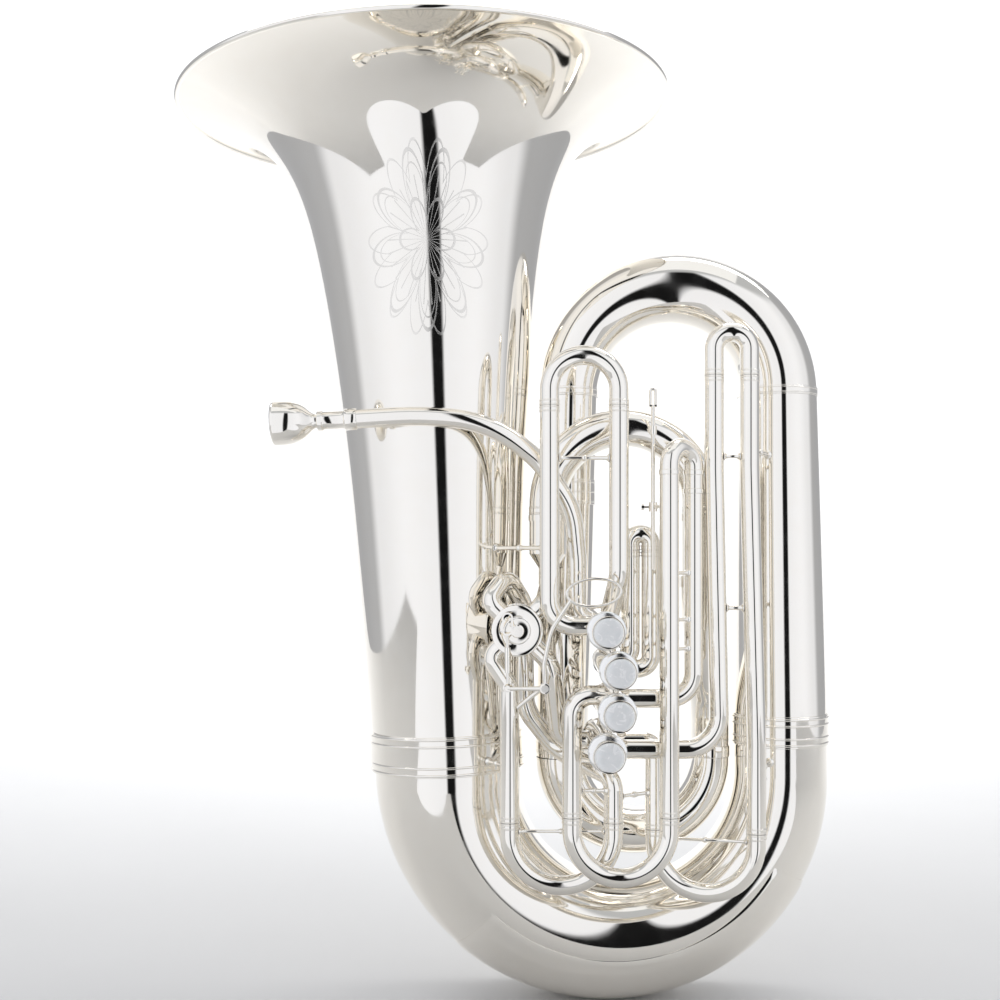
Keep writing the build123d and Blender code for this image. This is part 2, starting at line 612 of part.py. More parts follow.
# ================================================================ fourth valve slides
FOURTH_TOP_LEFT_X = 90.0
FOURTH_TOP_RIGHT_X = 124.4
FOURTH_LOW_LEFT_X = 34.6
FOURTH_LOW_RIGHT_X = 131.0
FOURTH_TOP_JOINT_Z = 634.0
FOURTH_TOP_CROOK_Z = 659.6
FOURTH_LOW_JOINT_Z = 190.0
FOURTH_LOW_CROOK_Z = 178.6
FOURTH_LEG_STRAIGHT = 90.0
with BuildPart() as fourth_slide_sleeves:
    bent_tube(
        [
            (-8, MIDDLE_Y, 271.7),
            (95.4, MIDDLE_Y, 271.7),
            (FOURTH_TOP_LEFT_X, MIDDLE_Y, FOURTH_TOP_JOINT_Z - FOURTH_LEG_STRAIGHT),
            (FOURTH_TOP_LEFT_X, MIDDLE_Y, FOURTH_TOP_JOINT_Z),
        ],
        [33, 300],
        SLEEVE_R,
        SLEEVE_BORE,
    )
    bent_tube(
        [
            (FOURTH_TOP_RIGHT_X, MIDDLE_Y, FOURTH_TOP_JOINT_Z),
            (FOURTH_TOP_RIGHT_X, MIDDLE_Y, FOURTH_TOP_JOINT_Z - FOURTH_LEG_STRAIGHT),
            (FOURTH_LOW_RIGHT_X, MIDDLE_Y, FOURTH_LOW_JOINT_Z + FOURTH_LEG_STRAIGHT),
            (FOURTH_LOW_RIGHT_X, MIDDLE_Y, FOURTH_LOW_JOINT_Z),
        ],
        [300, 300],
        SLEEVE_R,
        SLEEVE_BORE,
    )
    bent_tube(
        [(FOURTH_LOW_LEFT_X, BACK_Y, FOURTH_LOW_JOINT_Z), (FOURTH_LOW_LEFT_X, BACK_Y, 277), (-6, BACK_Y, 277)],
        13,
        SLEEVE_R,
        SLEEVE_BORE,
    )
    for x in (FOURTH_TOP_LEFT_X, FOURTH_TOP_RIGHT_X):
        ring((x, MIDDLE_Y, FOURTH_TOP_JOINT_Z - 3), (0, 0, 1), COLLAR_R, SLEEVE_BORE, 6)
    for x, y in ((FOURTH_LOW_LEFT_X, BACK_Y), (FOURTH_LOW_RIGHT_X, MIDDLE_Y)):
        ring((x, y, FOURTH_LOW_JOINT_Z + 3), (0, 0, 1), COLLAR_R, SLEEVE_BORE, 6)
    clear_casing(3)
with BuildPart() as fourth_upper_slide:
    slide(
        (FOURTH_TOP_LEFT_X, MIDDLE_Y),
        (FOURTH_TOP_RIGHT_X, MIDDLE_Y),
        FOURTH_TOP_JOINT_Z,
        FOURTH_TOP_CROOK_Z,
        (80, 80),
    )
with BuildPart() as fourth_lower_slide:
    slide(
        (FOURTH_LOW_LEFT_X, BACK_Y),
        (FOURTH_LOW_RIGHT_X, MIDDLE_Y),
        FOURTH_LOW_JOINT_Z,
        FOURTH_LOW_CROOK_Z,
        (66, 80),
    )
    low_bar_z = FOURTH_LOW_JOINT_Z - 8.9
    left_end = Vector(FOURTH_LOW_LEFT_X, BACK_Y, low_bar_z)
    right_end = Vector(FOURTH_LOW_RIGHT_X, MIDDLE_Y, low_bar_z)
    inset = (right_end - left_end).normalized() * 8.7
    rod(tuple(left_end + inset), tuple(right_end - inset), 1.8)

# ================================================================ fifth valve slide
FIFTH_LEFT_X = -108.6
FIFTH_RIGHT_X = -7.8
FIFTH_Y = -100.0
FIFTH_JOINT_Z = 201.5
FIFTH_CROOK_Z = 190.3
with BuildPart() as fifth_slide_sleeves:
    bent_tube(
        [
            (FIFTH_LEFT_X, FIFTH_Y, FIFTH_JOINT_Z),
            (FIFTH_LEFT_X, FIFTH_Y, 333),
            (ROTOR_X - 26.5, -94, ROTOR_Z - 26.5),
            (ROTOR_X - 17, -94, ROTOR_Z - 17),
        ],
        [16, 11.5],
        SLEEVE_R,
        SLEEVE_BORE,
    )
    bent_tube(
        [
            (FIFTH_RIGHT_X, FIFTH_Y, FIFTH_JOINT_Z),
            (FIFTH_RIGHT_X, FIFTH_Y, 244.5),
            (-60, -45, 262),
            (-93, -54, 305),
            (-95, -54, 412),
            (-112, -76, 440),
            (-129, -94, 415.5),
            (ROTOR_X - 17, -94, ROTOR_Z + 17),
        ],
        [16, 30, 40, 22, 14, 11],
        SLEEVE_R,
        SLEEVE_BORE,
    )
    for x in (FIFTH_LEFT_X, FIFTH_RIGHT_X):
        ring((x, FIFTH_Y, FIFTH_JOINT_Z + 3), (0, 0, 1), COLLAR_R, SLEEVE_BORE, 6)
    rod((ROTOR_X, -130, ROTOR_Z), (ROTOR_X, -60, ROTOR_Z), ROTOR_CASING_R, mode=Mode.SUBTRACT)
with BuildPart() as fifth_slide:
    slide((FIFTH_LEFT_X, FIFTH_Y), (FIFTH_RIGHT_X, FIFTH_Y), FIFTH_JOINT_Z, FIFTH_CROOK_Z, (85, 27))
    fifth_bar_z = FIFTH_JOINT_Z - 8.9
    rod((FIFTH_LEFT_X + 8.7, FIFTH_Y, fifth_bar_z), (FIFTH_RIGHT_X - 8.7, FIFTH_Y, fifth_bar_z), 1.8)

# ================================================================ rotary valve
rotor_middle_y = (ROTOR_FRONT_Y + ROTOR_BACK_Y) / 2
with BuildPart() as rotor_casing:
    ring((ROTOR_X, rotor_middle_y, ROTOR_Z), (0, 1, 0), ROTOR_CASING_R, ROTOR_BORE, ROTOR_BACK_Y - ROTOR_FRONT_Y)
    for i in range(4):
        angle = radians(45 + 90 * i)
        reach = (ROTOR_X + 28 * cos(angle), rotor_middle_y, ROTOR_Z + 28 * sin(angle))
        start = (ROTOR_X + 12 * cos(angle), rotor_middle_y, ROTOR_Z + 12 * sin(angle))
        rod(start, reach, SLEEVE_BORE - 0.4, mode=Mode.SUBTRACT)

with BuildPart() as rotor_caps:
    ring((ROTOR_X, ROTOR_FRONT_Y - 1.6, ROTOR_Z), (0, 1, 0), ROTOR_CASING_R + 1.0, 3.05, 3.0)
    rod((ROTOR_X, ROTOR_BACK_Y + 0.1, ROTOR_Z), (ROTOR_X, ROTOR_BACK_Y + 3.1, ROTOR_Z), ROTOR_CASING_R + 1.0)
    ring((ROTOR_X, ROTOR_FRONT_Y - 4.1, ROTOR_Z), (0, 1, 0), 6.5, 3.05, 2.2)


def stop_pin(angle):
    """The end of the stop arm when it points at an angle, seen from the front."""
    turn = radians(angle)
    return ROTOR_X + STOP_ARM_LENGTH * cos(turn), ROTOR_Z + STOP_ARM_LENGTH * sin(turn)


pin_x, pin_z = stop_pin(135)
with BuildPart() as rotor:
    rod((ROTOR_X, ROTOR_FRONT_Y + 1, ROTOR_Z), (ROTOR_X, ROTOR_BACK_Y - 1, ROTOR_Z), ROTOR_R)
    for side in (-1, 1):
        groove_x = ROTOR_X + side * 15.2
        low = (groove_x, rotor_middle_y, ROTOR_Z - 22)
        high = (groove_x, rotor_middle_y, ROTOR_Z + 22)
        rod(low, high, SLEEVE_BORE - 0.4, mode=Mode.SUBTRACT)
    rod((ROTOR_X, ROTOR_FRONT_Y + 1.5, ROTOR_Z), (ROTOR_X, -123.8, ROTOR_Z), 3.0)
    rod((ROTOR_X, -119.8, ROTOR_Z), (ROTOR_X, -123.2, ROTOR_Z), 5.4)
    rod((ROTOR_X, -121.5, ROTOR_Z), (pin_x, -121.5, pin_z), 1.5)
    rod((pin_x, -119.6, pin_z), (pin_x, LINK_Y - 2.2, pin_z), 1.2)

# ================================================================ thumb lever and link
short_end_x = LEVER_X - SHORT_ARM_LENGTH
link_top_x = pin_x - 1.8
with BuildPart() as thumb_lever:
    ring((LEVER_X, LEVER_Y + 2, LEVER_Z), (0, 1, 0), 5.2, 2.05, 8)
    rod((LEVER_X - 4.8, LEVER_Y, LEVER_Z), (short_end_x, LEVER_Y, LEVER_Z), 2.1)
    rod((short_end_x, LEVER_Y - 1.5, LEVER_Z), (short_end_x, LINK_Y - 2.6, LEVER_Z), 1.6)
    bent_tube(
        [
            (LEVER_X, LEVER_Y, LEVER_Z + 4.6),
            (LEVER_X - 1, LEVER_Y, LEVER_Z + 22),
            (LEVER_X + 6, LEVER_Y, LEVER_Z + 55),
            (LEVER_X + 24, LEVER_Y, LEVER_Z + 82),
        ],
        [30, 40],
        2.2,
    )
    with BuildSketch(Plane(origin=(-29, LEVER_Y - 2, 425), x_dir=(1, 0, 0.05), z_dir=(0, -1, 0))) as section:
        Ellipse(27.0, 14.5)
        Ellipse(24.0, 11.5, mode=Mode.SUBTRACT)
    extrude(section.sketch, amount=-4)

with BuildPart() as link_rod:
    ring((short_end_x, LINK_Y, LEVER_Z), (0, 1, 0), 4.6, 1.65, 4)
    rod((short_end_x, LINK_Y, LEVER_Z + 4.2), (link_top_x, LINK_Y, pin_z - 10.2), 1.5)
    rod((short_end_x, LINK_Y, LEVER_Z + 14), (link_top_x, LINK_Y, pin_z - 22), 2.8)
    with BuildSketch(Plane(origin=(link_top_x, LINK_Y - 1.5, pin_z), x_dir=(1, 0, 0), z_dir=(0, -1, 0))) as section:
        SlotOverall(22.0, 10.6, rotation=90)
        SlotOverall(18.6, 7.2, rotation=90, mode=Mode.SUBTRACT)
    extrude(section.sketch, amount=-3)

with BuildPart() as lever_bracket:
    rod((LEVER_X, -143.2, LEVER_Z), (LEVER_X, -112.0, LEVER_Z), 2.0)
    ring((LEVER_X, -129.5, LEVER_Z), (0, 1, 0), 4.4, 1.9, 3)
    rod((LEVER_X, -142.4, LEVER_Z), (LEVER_X, -144.0, LEVER_Z), 3.6)
    rod((LEVER_X, -116, LEVER_Z), (FIFTH_LEFT_X, FIFTH_Y, 306), 2.4)
    rod((FIFTH_LEFT_X, FIFTH_Y, 280), (FIFTH_LEFT_X, FIFTH_Y, 325), SLEEVE_R, mode=Mode.SUBTRACT)

# ================================================================ leadpipe and mouthpiece
RECEIVER_START = (-291.5, -119.0, 587.9)
RECEIVER_END = (-262.0, -119.0, 589.6)
receiver_axis = (Vector(*RECEIVER_END) - Vector(*RECEIVER_START)).normalized()
with BuildPart() as leadpipe:
    bent_tube(
        [
            RECEIVER_END,
            (-196, -119, 593.4),
            (-128, -118, 588.5),
            (-79, -101, 551),
            (-47, -92, 505),
            (-42, -88, 455),
            (-42, -85, 402),
            (-24, -85, 392),
        ],
        [320, 120, 110, 75, 90, 14],
        SLEEVE_R - 0.3,
        LEG_BORE,
    )
    clear_casing(0)

receiver_length = (Vector(*RECEIVER_END) - Vector(*RECEIVER_START)).length - 0.4


def on_receiver(distance):
    """A point on the receiver's axis, from its mouth."""
    return tuple(Vector(*RECEIVER_START) + receiver_axis * distance)


with BuildPart() as mouthpiece_receiver:
    ring(on_receiver(receiver_length / 2), receiver_axis, 8.6, 6.9, receiver_length)
    ring(on_receiver(2.5), receiver_axis, 9.6, 6.9, 5)
    ring(on_receiver(receiver_length - 1.5), receiver_axis, 10.4, 6.9, 3)
    ring(on_receiver(receiver_length + 4), receiver_axis, 10.4, 9.2, 9)

# Mouthpiece profile: distance from the rim along the axis, then radius
cup_outside = [(6.0, 21.3), (14.0, 19.6), (23.0, 16.8), (30.0, 12.4), (35.0, 8.8), (41.0, 6.85)]
mouth_plane = Plane(
    origin=on_receiver(-43),
    x_dir=tuple(receiver_axis),
    z_dir=(0, -1, 0),
)
with BuildPart() as mouthpiece:
    with BuildSketch(mouth_plane):
        with BuildLine():
            Spline(*cup_outside, tangents=[(1, -0.1), (1, -0.05)])
            Line((41.0, 6.85), (70.0, 6.0))
            Line((70.0, 6.0), (70.0, 4.9))
            Line((70.0, 4.9), (38.0, 3.9))
            Spline((38.0, 3.9), (30.0, 7.5), (16.0, 14.6), (3.4, 16.2))
            ThreePointArc((3.4, 16.2), (0.0, 19.0), (2.2, 21.6))
            Line((2.2, 21.6), (6.0, 21.3))
        make_face()
    revolve(axis=Axis(mouth_plane.origin, mouth_plane.x_dir))

# ================================================================ braces
# Each post runs from centre line to centre line and is then cut back to the outside of what it joins
post_runs = [
    ((FIRST_LEFT_X, FRONT_Y, 552.6), (FIRST_RIGHT_X, FRONT_Y, 552.6), 1.9),
    ((FOURTH_TOP_LEFT_X, MIDDLE_Y, 556), (FOURTH_TOP_RIGHT_X, MIDDLE_Y, 556), 2.0),
    ((93.0, MIDDLE_Y, 408.8), (127.8, MIDDLE_Y, 408.8), 2.0),
    ((THIRD_RIGHT_X, FRONT_Y, 370), (THIRD_BACK_X, MIDDLE_Y, 370), 1.7),
    ((THIRD_RIGHT_X, FRONT_Y, 398), (THIRD_BACK_X, MIDDLE_Y, 398), 1.7),
    ((THIRD_RIGHT_X, FRONT_Y, 443), (THIRD_BACK_X, MIDDLE_Y, 443), 1.7),
    ((THIRD_LEFT_X, FRONT_Y, 236), (FIFTH_RIGHT_X, FIFTH_Y, 232), 1.9),
    ((FIFTH_RIGHT_X, FIFTH_Y, 226), (FOURTH_LOW_LEFT_X, BACK_Y, 226), 1.9),
    ((FIFTH_LEFT_X, FIFTH_Y, 255), (-172.0, 0, 255), 2.0),
    ((FIRST_LEFT_X, FRONT_Y, 467), (-181.0, 0, 467), 2.2),
    ((FOURTH_TOP_RIGHT_X, MIDDLE_Y, 562), (171.0, 0, 562), 2.4),
    ((FOURTH_LOW_RIGHT_X, MIDDLE_Y, 250), (BOW_RADIUS, 0, 250), 2.4),
]
sleeve_runs = [
    ((FIRST_LEFT_X, FRONT_Y, 450), (FIRST_LEFT_X, FRONT_Y, 580)),
    ((FIRST_RIGHT_X, FRONT_Y, 520), (FIRST_RIGHT_X, FRONT_Y, 580)),
    ((FOURTH_TOP_LEFT_X, MIDDLE_Y, 546), (FOURTH_TOP_LEFT_X, MIDDLE_Y, 600)),
    ((FOURTH_TOP_RIGHT_X, MIDDLE_Y, 546), (FOURTH_TOP_RIGHT_X, MIDDLE_Y, 600)),
    ((95.4, MIDDLE_Y, 271.7), (FOURTH_TOP_LEFT_X, MIDDLE_Y, 544)),
    ((FOURTH_LOW_RIGHT_X, MIDDLE_Y, 280), (FOURTH_TOP_RIGHT_X, MIDDLE_Y, 544)),
    ((FOURTH_LOW_RIGHT_X, MIDDLE_Y, 200), (FOURTH_LOW_RIGHT_X, MIDDLE_Y, 280)),
    ((THIRD_RIGHT_X, FRONT_Y, 350), (THIRD_RIGHT_X, FRONT_Y, 460)),
    ((THIRD_BACK_X, MIDDLE_Y, 350), (THIRD_BACK_X, MIDDLE_Y, 460)),
    ((THIRD_LEFT_X, FRONT_Y, 220), (THIRD_LEFT_X, FRONT_Y, 260)),
    ((FIFTH_RIGHT_X, FIFTH_Y, 205), (FIFTH_RIGHT_X, FIFTH_Y, 245)),
    ((FOURTH_LOW_LEFT_X, BACK_Y, 200), (FOURTH_LOW_LEFT_X, BACK_Y, 250)),
    ((FIFTH_LEFT_X, FIFTH_Y, 230), (FIFTH_LEFT_X, FIFTH_Y, 280)),
]
with BuildPart() as brace_posts:
    for start, end, radius in post_runs:
        rod(start, end, radius)
    for start, end in sleeve_runs:
        rod(start, end, SLEEVE_R, mode=Mode.SUBTRACT)
    rod(on_bell_axis(10), on_bell_axis(60), 80.3, mode=Mode.SUBTRACT)
    rod(on_bell_axis(215), on_bell_axis(262), 88.4, mode=Mode.SUBTRACT)
    rod((171.0, 0, 540), (171.0, 0, 580), 42.6, mode=Mode.SUBTRACT)
    rod((BOW_RADIUS, 0, 230), (BOW_RADIUS, 0, 262), BOW_TUBE[2] + 0.05, mode=Mode.SUBTRACT)

# ================================================================ write every sub-part
named_parts = [
    (bell, "bell"),
    (bell_rim_bead, "bell_rim_bead"),
    (bell_ferrule, "bell_ferrule"),
    (bottom_bow, "bottom_bow"),
    (bottom_bow_guard, "bottom_bow_guard"),
    (bow_ferrule_right, "bow_ferrule_right"),
    (large_branch, "large_branch"),
    (top_bow, "top_bow"),
    (top_bow_ferrules, "top_bow_ferrules"),
    (left_branch, "left_branch"),
    (branch_ferrules, "branch_ferrules"),
    (inner_bottom_bow, "inner_bottom_bow"),
    (inner_branch, "inner_branch"),
    (main_slide_sleeves, "main_slide_sleeves"),
    (main_tuning_slide, "main_tuning_slide"),
    (pull_rod, "pull_rod"),
    (pull_rod_guide, "pull_rod_guide"),
    (valve_casings, "valve_casings"),
    (valve_top_caps, "valve_top_caps"),
    (valve_bottom_caps, "valve_bottom_caps"),
    (crossover_tubes, "crossover_tubes"),
    (first_slide_sleeves, "first_slide_sleeves"),
    (first_slide, "first_slide"),
    (second_slide_sleeves, "second_slide_sleeves"),
    (second_slide, "second_slide"),
    (third_slide_sleeves, "third_slide_sleeves"),
    (third_slide, "third_slide"),
    (fourth_slide_sleeves, "fourth_slide_sleeves"),
    (fourth_upper_slide, "fourth_upper_slide"),
    (fourth_lower_slide, "fourth_lower_slide"),
    (fifth_slide_sleeves, "fifth_slide_sleeves"),
    (fifth_slide, "fifth_slide"),
    (rotor_casing, "rotor_casing"),
    (rotor_caps, "rotor_caps"),
    (rotor, "rotor"),
    (thumb_lever, "thumb_lever"),
    (link_rod, "link_rod"),
    (lever_bracket, "lever_bracket"),
    (leadpipe, "leadpipe"),
    (mouthpiece_receiver, "mouthpiece_receiver"),
    (mouthpiece, "mouthpiece"),
    (brace_posts, "brace_posts"),
] + piston_parts

os.makedirs("parts", exist_ok=True)
for piece, name in named_parts:
    piece.part.label = name
    export_step(piece.part, f"parts/{name}.step")
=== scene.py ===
from math import ceil, cos, hypot, pi, radians, sin, tan

import bmesh
import bpy
import numpy as np
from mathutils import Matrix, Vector


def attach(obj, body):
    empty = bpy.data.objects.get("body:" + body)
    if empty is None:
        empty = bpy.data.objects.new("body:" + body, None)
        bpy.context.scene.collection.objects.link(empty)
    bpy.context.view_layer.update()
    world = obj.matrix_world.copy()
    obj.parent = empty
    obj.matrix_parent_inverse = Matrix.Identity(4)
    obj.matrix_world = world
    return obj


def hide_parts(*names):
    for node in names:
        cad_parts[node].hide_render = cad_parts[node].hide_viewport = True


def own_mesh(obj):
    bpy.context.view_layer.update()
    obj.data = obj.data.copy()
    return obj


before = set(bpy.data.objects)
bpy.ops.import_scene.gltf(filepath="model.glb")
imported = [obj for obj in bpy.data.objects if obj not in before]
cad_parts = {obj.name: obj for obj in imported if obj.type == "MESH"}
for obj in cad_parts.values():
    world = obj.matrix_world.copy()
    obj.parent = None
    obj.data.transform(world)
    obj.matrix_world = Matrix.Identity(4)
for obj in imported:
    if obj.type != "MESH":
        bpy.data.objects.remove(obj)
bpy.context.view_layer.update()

# Sizes are in millimetres in the row frame and become metres when a mesh is made.
MM = 0.001

# ---------------------------------------------------------------- shared sizes
WALL = 0.8
BOW_RADIUS = 173.2
BOW_CENTRE_Z = 235.0
BOW_TUBE = (76.0, 61.0, 48.5)
GUARD_THICKNESS = 1.6
BELL_LEAN = radians(2.02)
BELL_RIM_RADIUS = 251.5
BELL_LENGTH = 698.0
BEAD_RADIUS = 2.6
TOP_CENTRE = (61.5, 628.7)
TOP_RADIUS = 109.0
TOP_TUBE = (41.0, 36.0, 30.0)
INNER_CENTRE = (22.75, 250.0)
INNER_RADIUS = 77.25
INNER_TUBE = (27.5, 24.0, 20.0)
SLEEVE_R = 9.4
SLEEVE_BORE = 8.85
LEG_R = 8.8
LEG_BORE = 8.3
COLLAR_R = 10.1
FRONT_Y = -122.0
MIDDLE_Y = -97.0
BACK_Y = -75.0
FIFTH_Y = -100.0
MAIN_Y = -60.0
MAIN_X = (-70.4, 81.6)
VALVES = [(-18.2, 390.0), (-7.1, 353.0), (-8.0, 314.0), (-17.3, 277.0)]
CASING_R = 16.6
ROTOR = (-101.0, 387.5)
ROTOR_R = 24.0
BELL_PROFILE = [
    (30.0, 77.2), (120.0, 82.0), (210.0, 86.6), (290.0, 91.0), (370.0, 97.0),
    (440.0, 104.0), (500.0, 111.8), (561.0, 122.5), (603.0, 134.0), (643.0, 154.5),
    (668.0, 180.0), (685.0, 209.0), (694.5, 235.0), (BELL_LENGTH, BELL_RIM_RADIUS - 1.5),
]
BELL_AXIS = Vector((-sin(BELL_LEAN), 0, cos(BELL_LEAN)))
BELL_FOOT = Vector((-BOW_RADIUS * cos(BELL_LEAN), 0, BOW_CENTRE_Z - BOW_RADIUS * sin(BELL_LEAN)))


# ---------------------------------------------------------------- shapes
class Shape:
    """Points and faces, in millimetres, added to by the functions below."""

    def __init__(self):
        self.points = []
        self.faces = []

    def skin(self, rings, loop=False):
        """Joins rings of equal length. With loop the last joins the first, and without it both ends are closed."""
        base = len(self.points)
        count = len(rings[0])
        for ring in rings:
            self.points.extend(ring)
        spans = len(rings) if loop else len(rings) - 1
        for i in range(spans):
            a = base + i * count
            b = base + (i + 1) % len(rings) * count
            for j in range(count):
                k = (j + 1) % count
                self.faces.append((a + j, a + k, b + k, b + j))
        if not loop:
            self.faces.append(tuple(range(base, base + count)))
            self.faces.append(tuple(base + (len(rings) - 1) * count + j for j in range(count)))


def turned(shape, origin, axis, profile, sides=64, ribs=0, rib_depth=0.0, rib_span=(0, 0)):
    """A turned part from (radius, distance along the axis) points. Ribs are straight knurling."""
    origin = Vector(origin)
    axis = Vector(axis).normalized()
    side = axis.orthogonal().normalized()
    up = axis.cross(side)
    solid = profile[0][0] < 0.01
    rings = []
    for index, (radius, distance) in enumerate(profile):
        ring = []
        for j in range(sides):
            turn = 2 * pi * j / sides
            r = radius
            if ribs and rib_span[0] <= index <= rib_span[1]:
                r -= rib_depth * (0.5 - 0.5 * cos(turn * ribs))
            ring.append(origin + axis * distance + (side * cos(turn) + up * sin(turn)) * r)
        rings.append(ring)
    shape.skin(rings, loop=not solid)


def land(point, direction, drum):
    """Slides a point along a direction until it meets the outside of a drum that lies along Y."""
    x, z, radius = drum
    px, pz = point.x - x, point.z - z
    a = direction.x ** 2 + direction.z ** 2
    b = px * direction.x + pz * direction.z
    c = px * px + pz * pz - radius * radius
    root = b * b - a * c
    if root < 0 or a < 1e-9:
        return point
    return point + direction * ((-b - root ** 0.5) / a)


def cut_to(path, drum):
    """Ends a path where its centre line enters a drum."""
    x, z, radius = drum
    kept = [p for p in path]
    while len(kept) > 2 and hypot(kept[-2].x - x, kept[-2].z - z) < radius:
        kept.pop()
    direction = (kept[-1] - kept[-2]).normalized()
    kept[-1] = land(kept[-2], direction, drum)
    if (kept[-1] - kept[-2]).length < 0.5:
        kept.pop(-2)
    return kept


def swept(shape, path, outer, bore=0.0, sides=40, drum=None):
    """A round tube or rod along a path. outer is one radius, or one for each point."""
    path = [Vector(p) for p in path]
    if drum:
        path = cut_to(path, drum)
    count = len(path)
    radii = list(outer)[:count] if isinstance(outer, (list, tuple)) else [outer] * count
    runs = [(b - a).normalized() for a, b in zip(path, path[1:])]
    tangents = [runs[0]] + [(a + b).normalized() for a, b in zip(runs, runs[1:])] + [runs[-1]]
    side = tangents[0].orthogonal().normalized()
    outside, inside = [], []
    for i in range(count):
        side = (side - tangents[i] * side.dot(tangents[i])).normalized()
        up = tangents[i].cross(side)
        for rings, shrink in ((outside, 0.0), (inside, radii[0] - bore)):
            ring = []
            for j in range(sides):
                turn = 2 * pi * j / sides
                point = path[i] + (side * cos(turn) + up * sin(turn)) * (radii[i] - shrink)
                if drum and i == count - 1:
                    point = land(point, tangents[i], drum)
                ring.append(point)
            rings.append(ring)
    if bore:
        shape.skin(outside + inside[::-1], loop=True)
    else:
        shape.skin(outside)


def filleted(points, radii, step=radians(5)):
    """Straight runs joined by tangent arcs."""
    points = [Vector(p) for p in points]
    if not isinstance(radii, (list, tuple)):
        radii = [radii] * (len(points) - 2)
    path = [points[0]]
    for (a, b, c), radius in zip(zip(points, points[1:], points[2:]), radii):
        u, v = (a - b).normalized(), (c - b).normalized()
        turn = pi - u.angle(v)
        start, end = b + u * radius * tan(turn / 2), b + v * radius * tan(turn / 2)
        centre = b + (u + v).normalized() * radius / cos(turn / 2)
        steps = max(3, ceil(turn / step))
        for k in range(steps + 1):
            f = k / steps
            arm = (start - centre) * sin((1 - f) * turn) + (end - centre) * sin(f * turn)
            path.append(centre + arm / sin(turn))
    path.append(points[-1])
    return path


def arc_path(centre, radius, start, end, steps):
    """Points of an arc in the main plane, with angles in degrees."""
    angles = [radians(start + (end - start) * i / steps) for i in range(steps + 1)]
    return [Vector((centre[0] + radius * cos(a), 0, centre[1] + radius * sin(a))) for a in angles]


def eased(tube, steps):
    """Radii that pass evenly through three values."""
    first, middle, last = tube
    ts = [i / steps for i in range(steps + 1)]
    return [first * (1 - t) * (1 - 2 * t) + 4 * middle * t * (1 - t) + last * t * (2 * t - 1) for t in ts]


def crook_path(left, right, joint_z, crook_z, gap=0.3, steps=48):
    """Two legs and the half circle that joins them."""
    (x0, y0), (x1, y1) = left, right
    up = 1 if crook_z > joint_z else -1
    radius = hypot(x1 - x0, y1 - y0) / 2
    path = [Vector((x0, y0, joint_z + up * gap))]
    for i in range(steps + 1):
        a = pi * i / steps
        f = (1 - cos(a)) / 2
        path.append(Vector((x0 + (x1 - x0) * f, y0 + (y1 - y0) * f, crook_z + up * radius * sin(a))))
    path.append(Vector((x1, y1, joint_z + up * gap)))
    return path


def smooth_curve(points, per_span=8):
    """Points along a cubic spline through the given ones."""
    p = np.array(points, float)
    h = np.linalg.norm(np.diff(p, axis=0), axis=1)
    n = len(p)
    a, b = np.eye(n), np.zeros_like(p)
    for i in range(1, n - 1):
        a[i, i - 1 : i + 2] = h[i - 1], 2 * (h[i - 1] + h[i]), h[i]
        b[i] = 6 * ((p[i + 1] - p[i]) / h[i] - (p[i] - p[i - 1]) / h[i - 1])
    m = np.linalg.solve(a, b)
    curve = []
    for i in range(n - 1):
        for k in range(per_span + (i == n - 2)):
            t = h[i] * k / per_span
            s = h[i] - t
            value = (m[i] * s**3 + m[i + 1] * t**3) / (6 * h[i])
            value += (p[i] / h[i] - m[i] * h[i] / 6) * s + (p[i + 1] / h[i] - m[i + 1] * h[i] / 6) * t
            curve.append((float(value[0]), float(value[1])))
    return curve


def band_profile(outer, bore, start, end, beads=(), bead=1.0, soft=0.5):
    """A band with rounded edges and half-round beads, as (radius, distance)."""
    points = [(bore, start), (outer - soft, start)]
    points += [(outer - soft + soft * sin(radians(a)), start + soft - soft * cos(radians(a))) for a in (30,
        60, 90)]
    for middle in beads:
        arc = [(outer + bead * sin(radians(a)), middle - bead * 1.2 * cos(radians(a))) for a in range(0, 181,
            20)]
        points += arc
    points += [(outer - soft + soft * cos(radians(a)), end - soft + soft * sin(radians(a))) for a in (0, 30,
        60, 90)]
    points.append((bore, end))
    return points


def collar(shape, centre, axis, outer, bore, length, sides=48, soft=0.6):
    """A short ring with rounded edges about a centre."""
    turned(shape, centre, axis, band_profile(outer, bore, -length / 2, length / 2, soft=soft), sides)


# ---------------------------------------------------------------- materials
def node_material(name):
    material = bpy.data.materials.new(name)
    material.use_nodes = True
    return material, material.node_tree.nodes, material.node_tree.links, material.node_tree.nodes["Principled BSDF"]


def noise(nodes, links, scale, detail=3.0):
    place = nodes.new("ShaderNodeTexCoord")
    texture = nodes.new("ShaderNodeTexNoise")
    texture.inputs["Scale"].default_value = scale
    texture.inputs["Detail"].default_value = detail
    links.new(place.outputs["Object"], texture.inputs["Vector"])
    return texture


def mapped(nodes, links, source, low, high, from_low=0.35, from_high=0.65):
    remap = nodes.new("ShaderNodeMapRange")
    remap.inputs["From Min"].default_value = from_low
    remap.inputs["From Max"].default_value = from_high
    remap.inputs["To Min"].default_value = low
    remap.inputs["To Max"].default_value = high
    links.new(source, remap.inputs["Value"])
    return remap.outputs["Result"]


def tinted(nodes, links, source, low, high):
    ramp = nodes.new("ShaderNodeValToRGB")
    ramp.color_ramp.elements[0].color = (*low, 1)
    ramp.color_ramp.elements[1].color = (*high, 1)
    links.new(source, ramp.inputs["Fac"])
    return ramp.outputs["Color"]


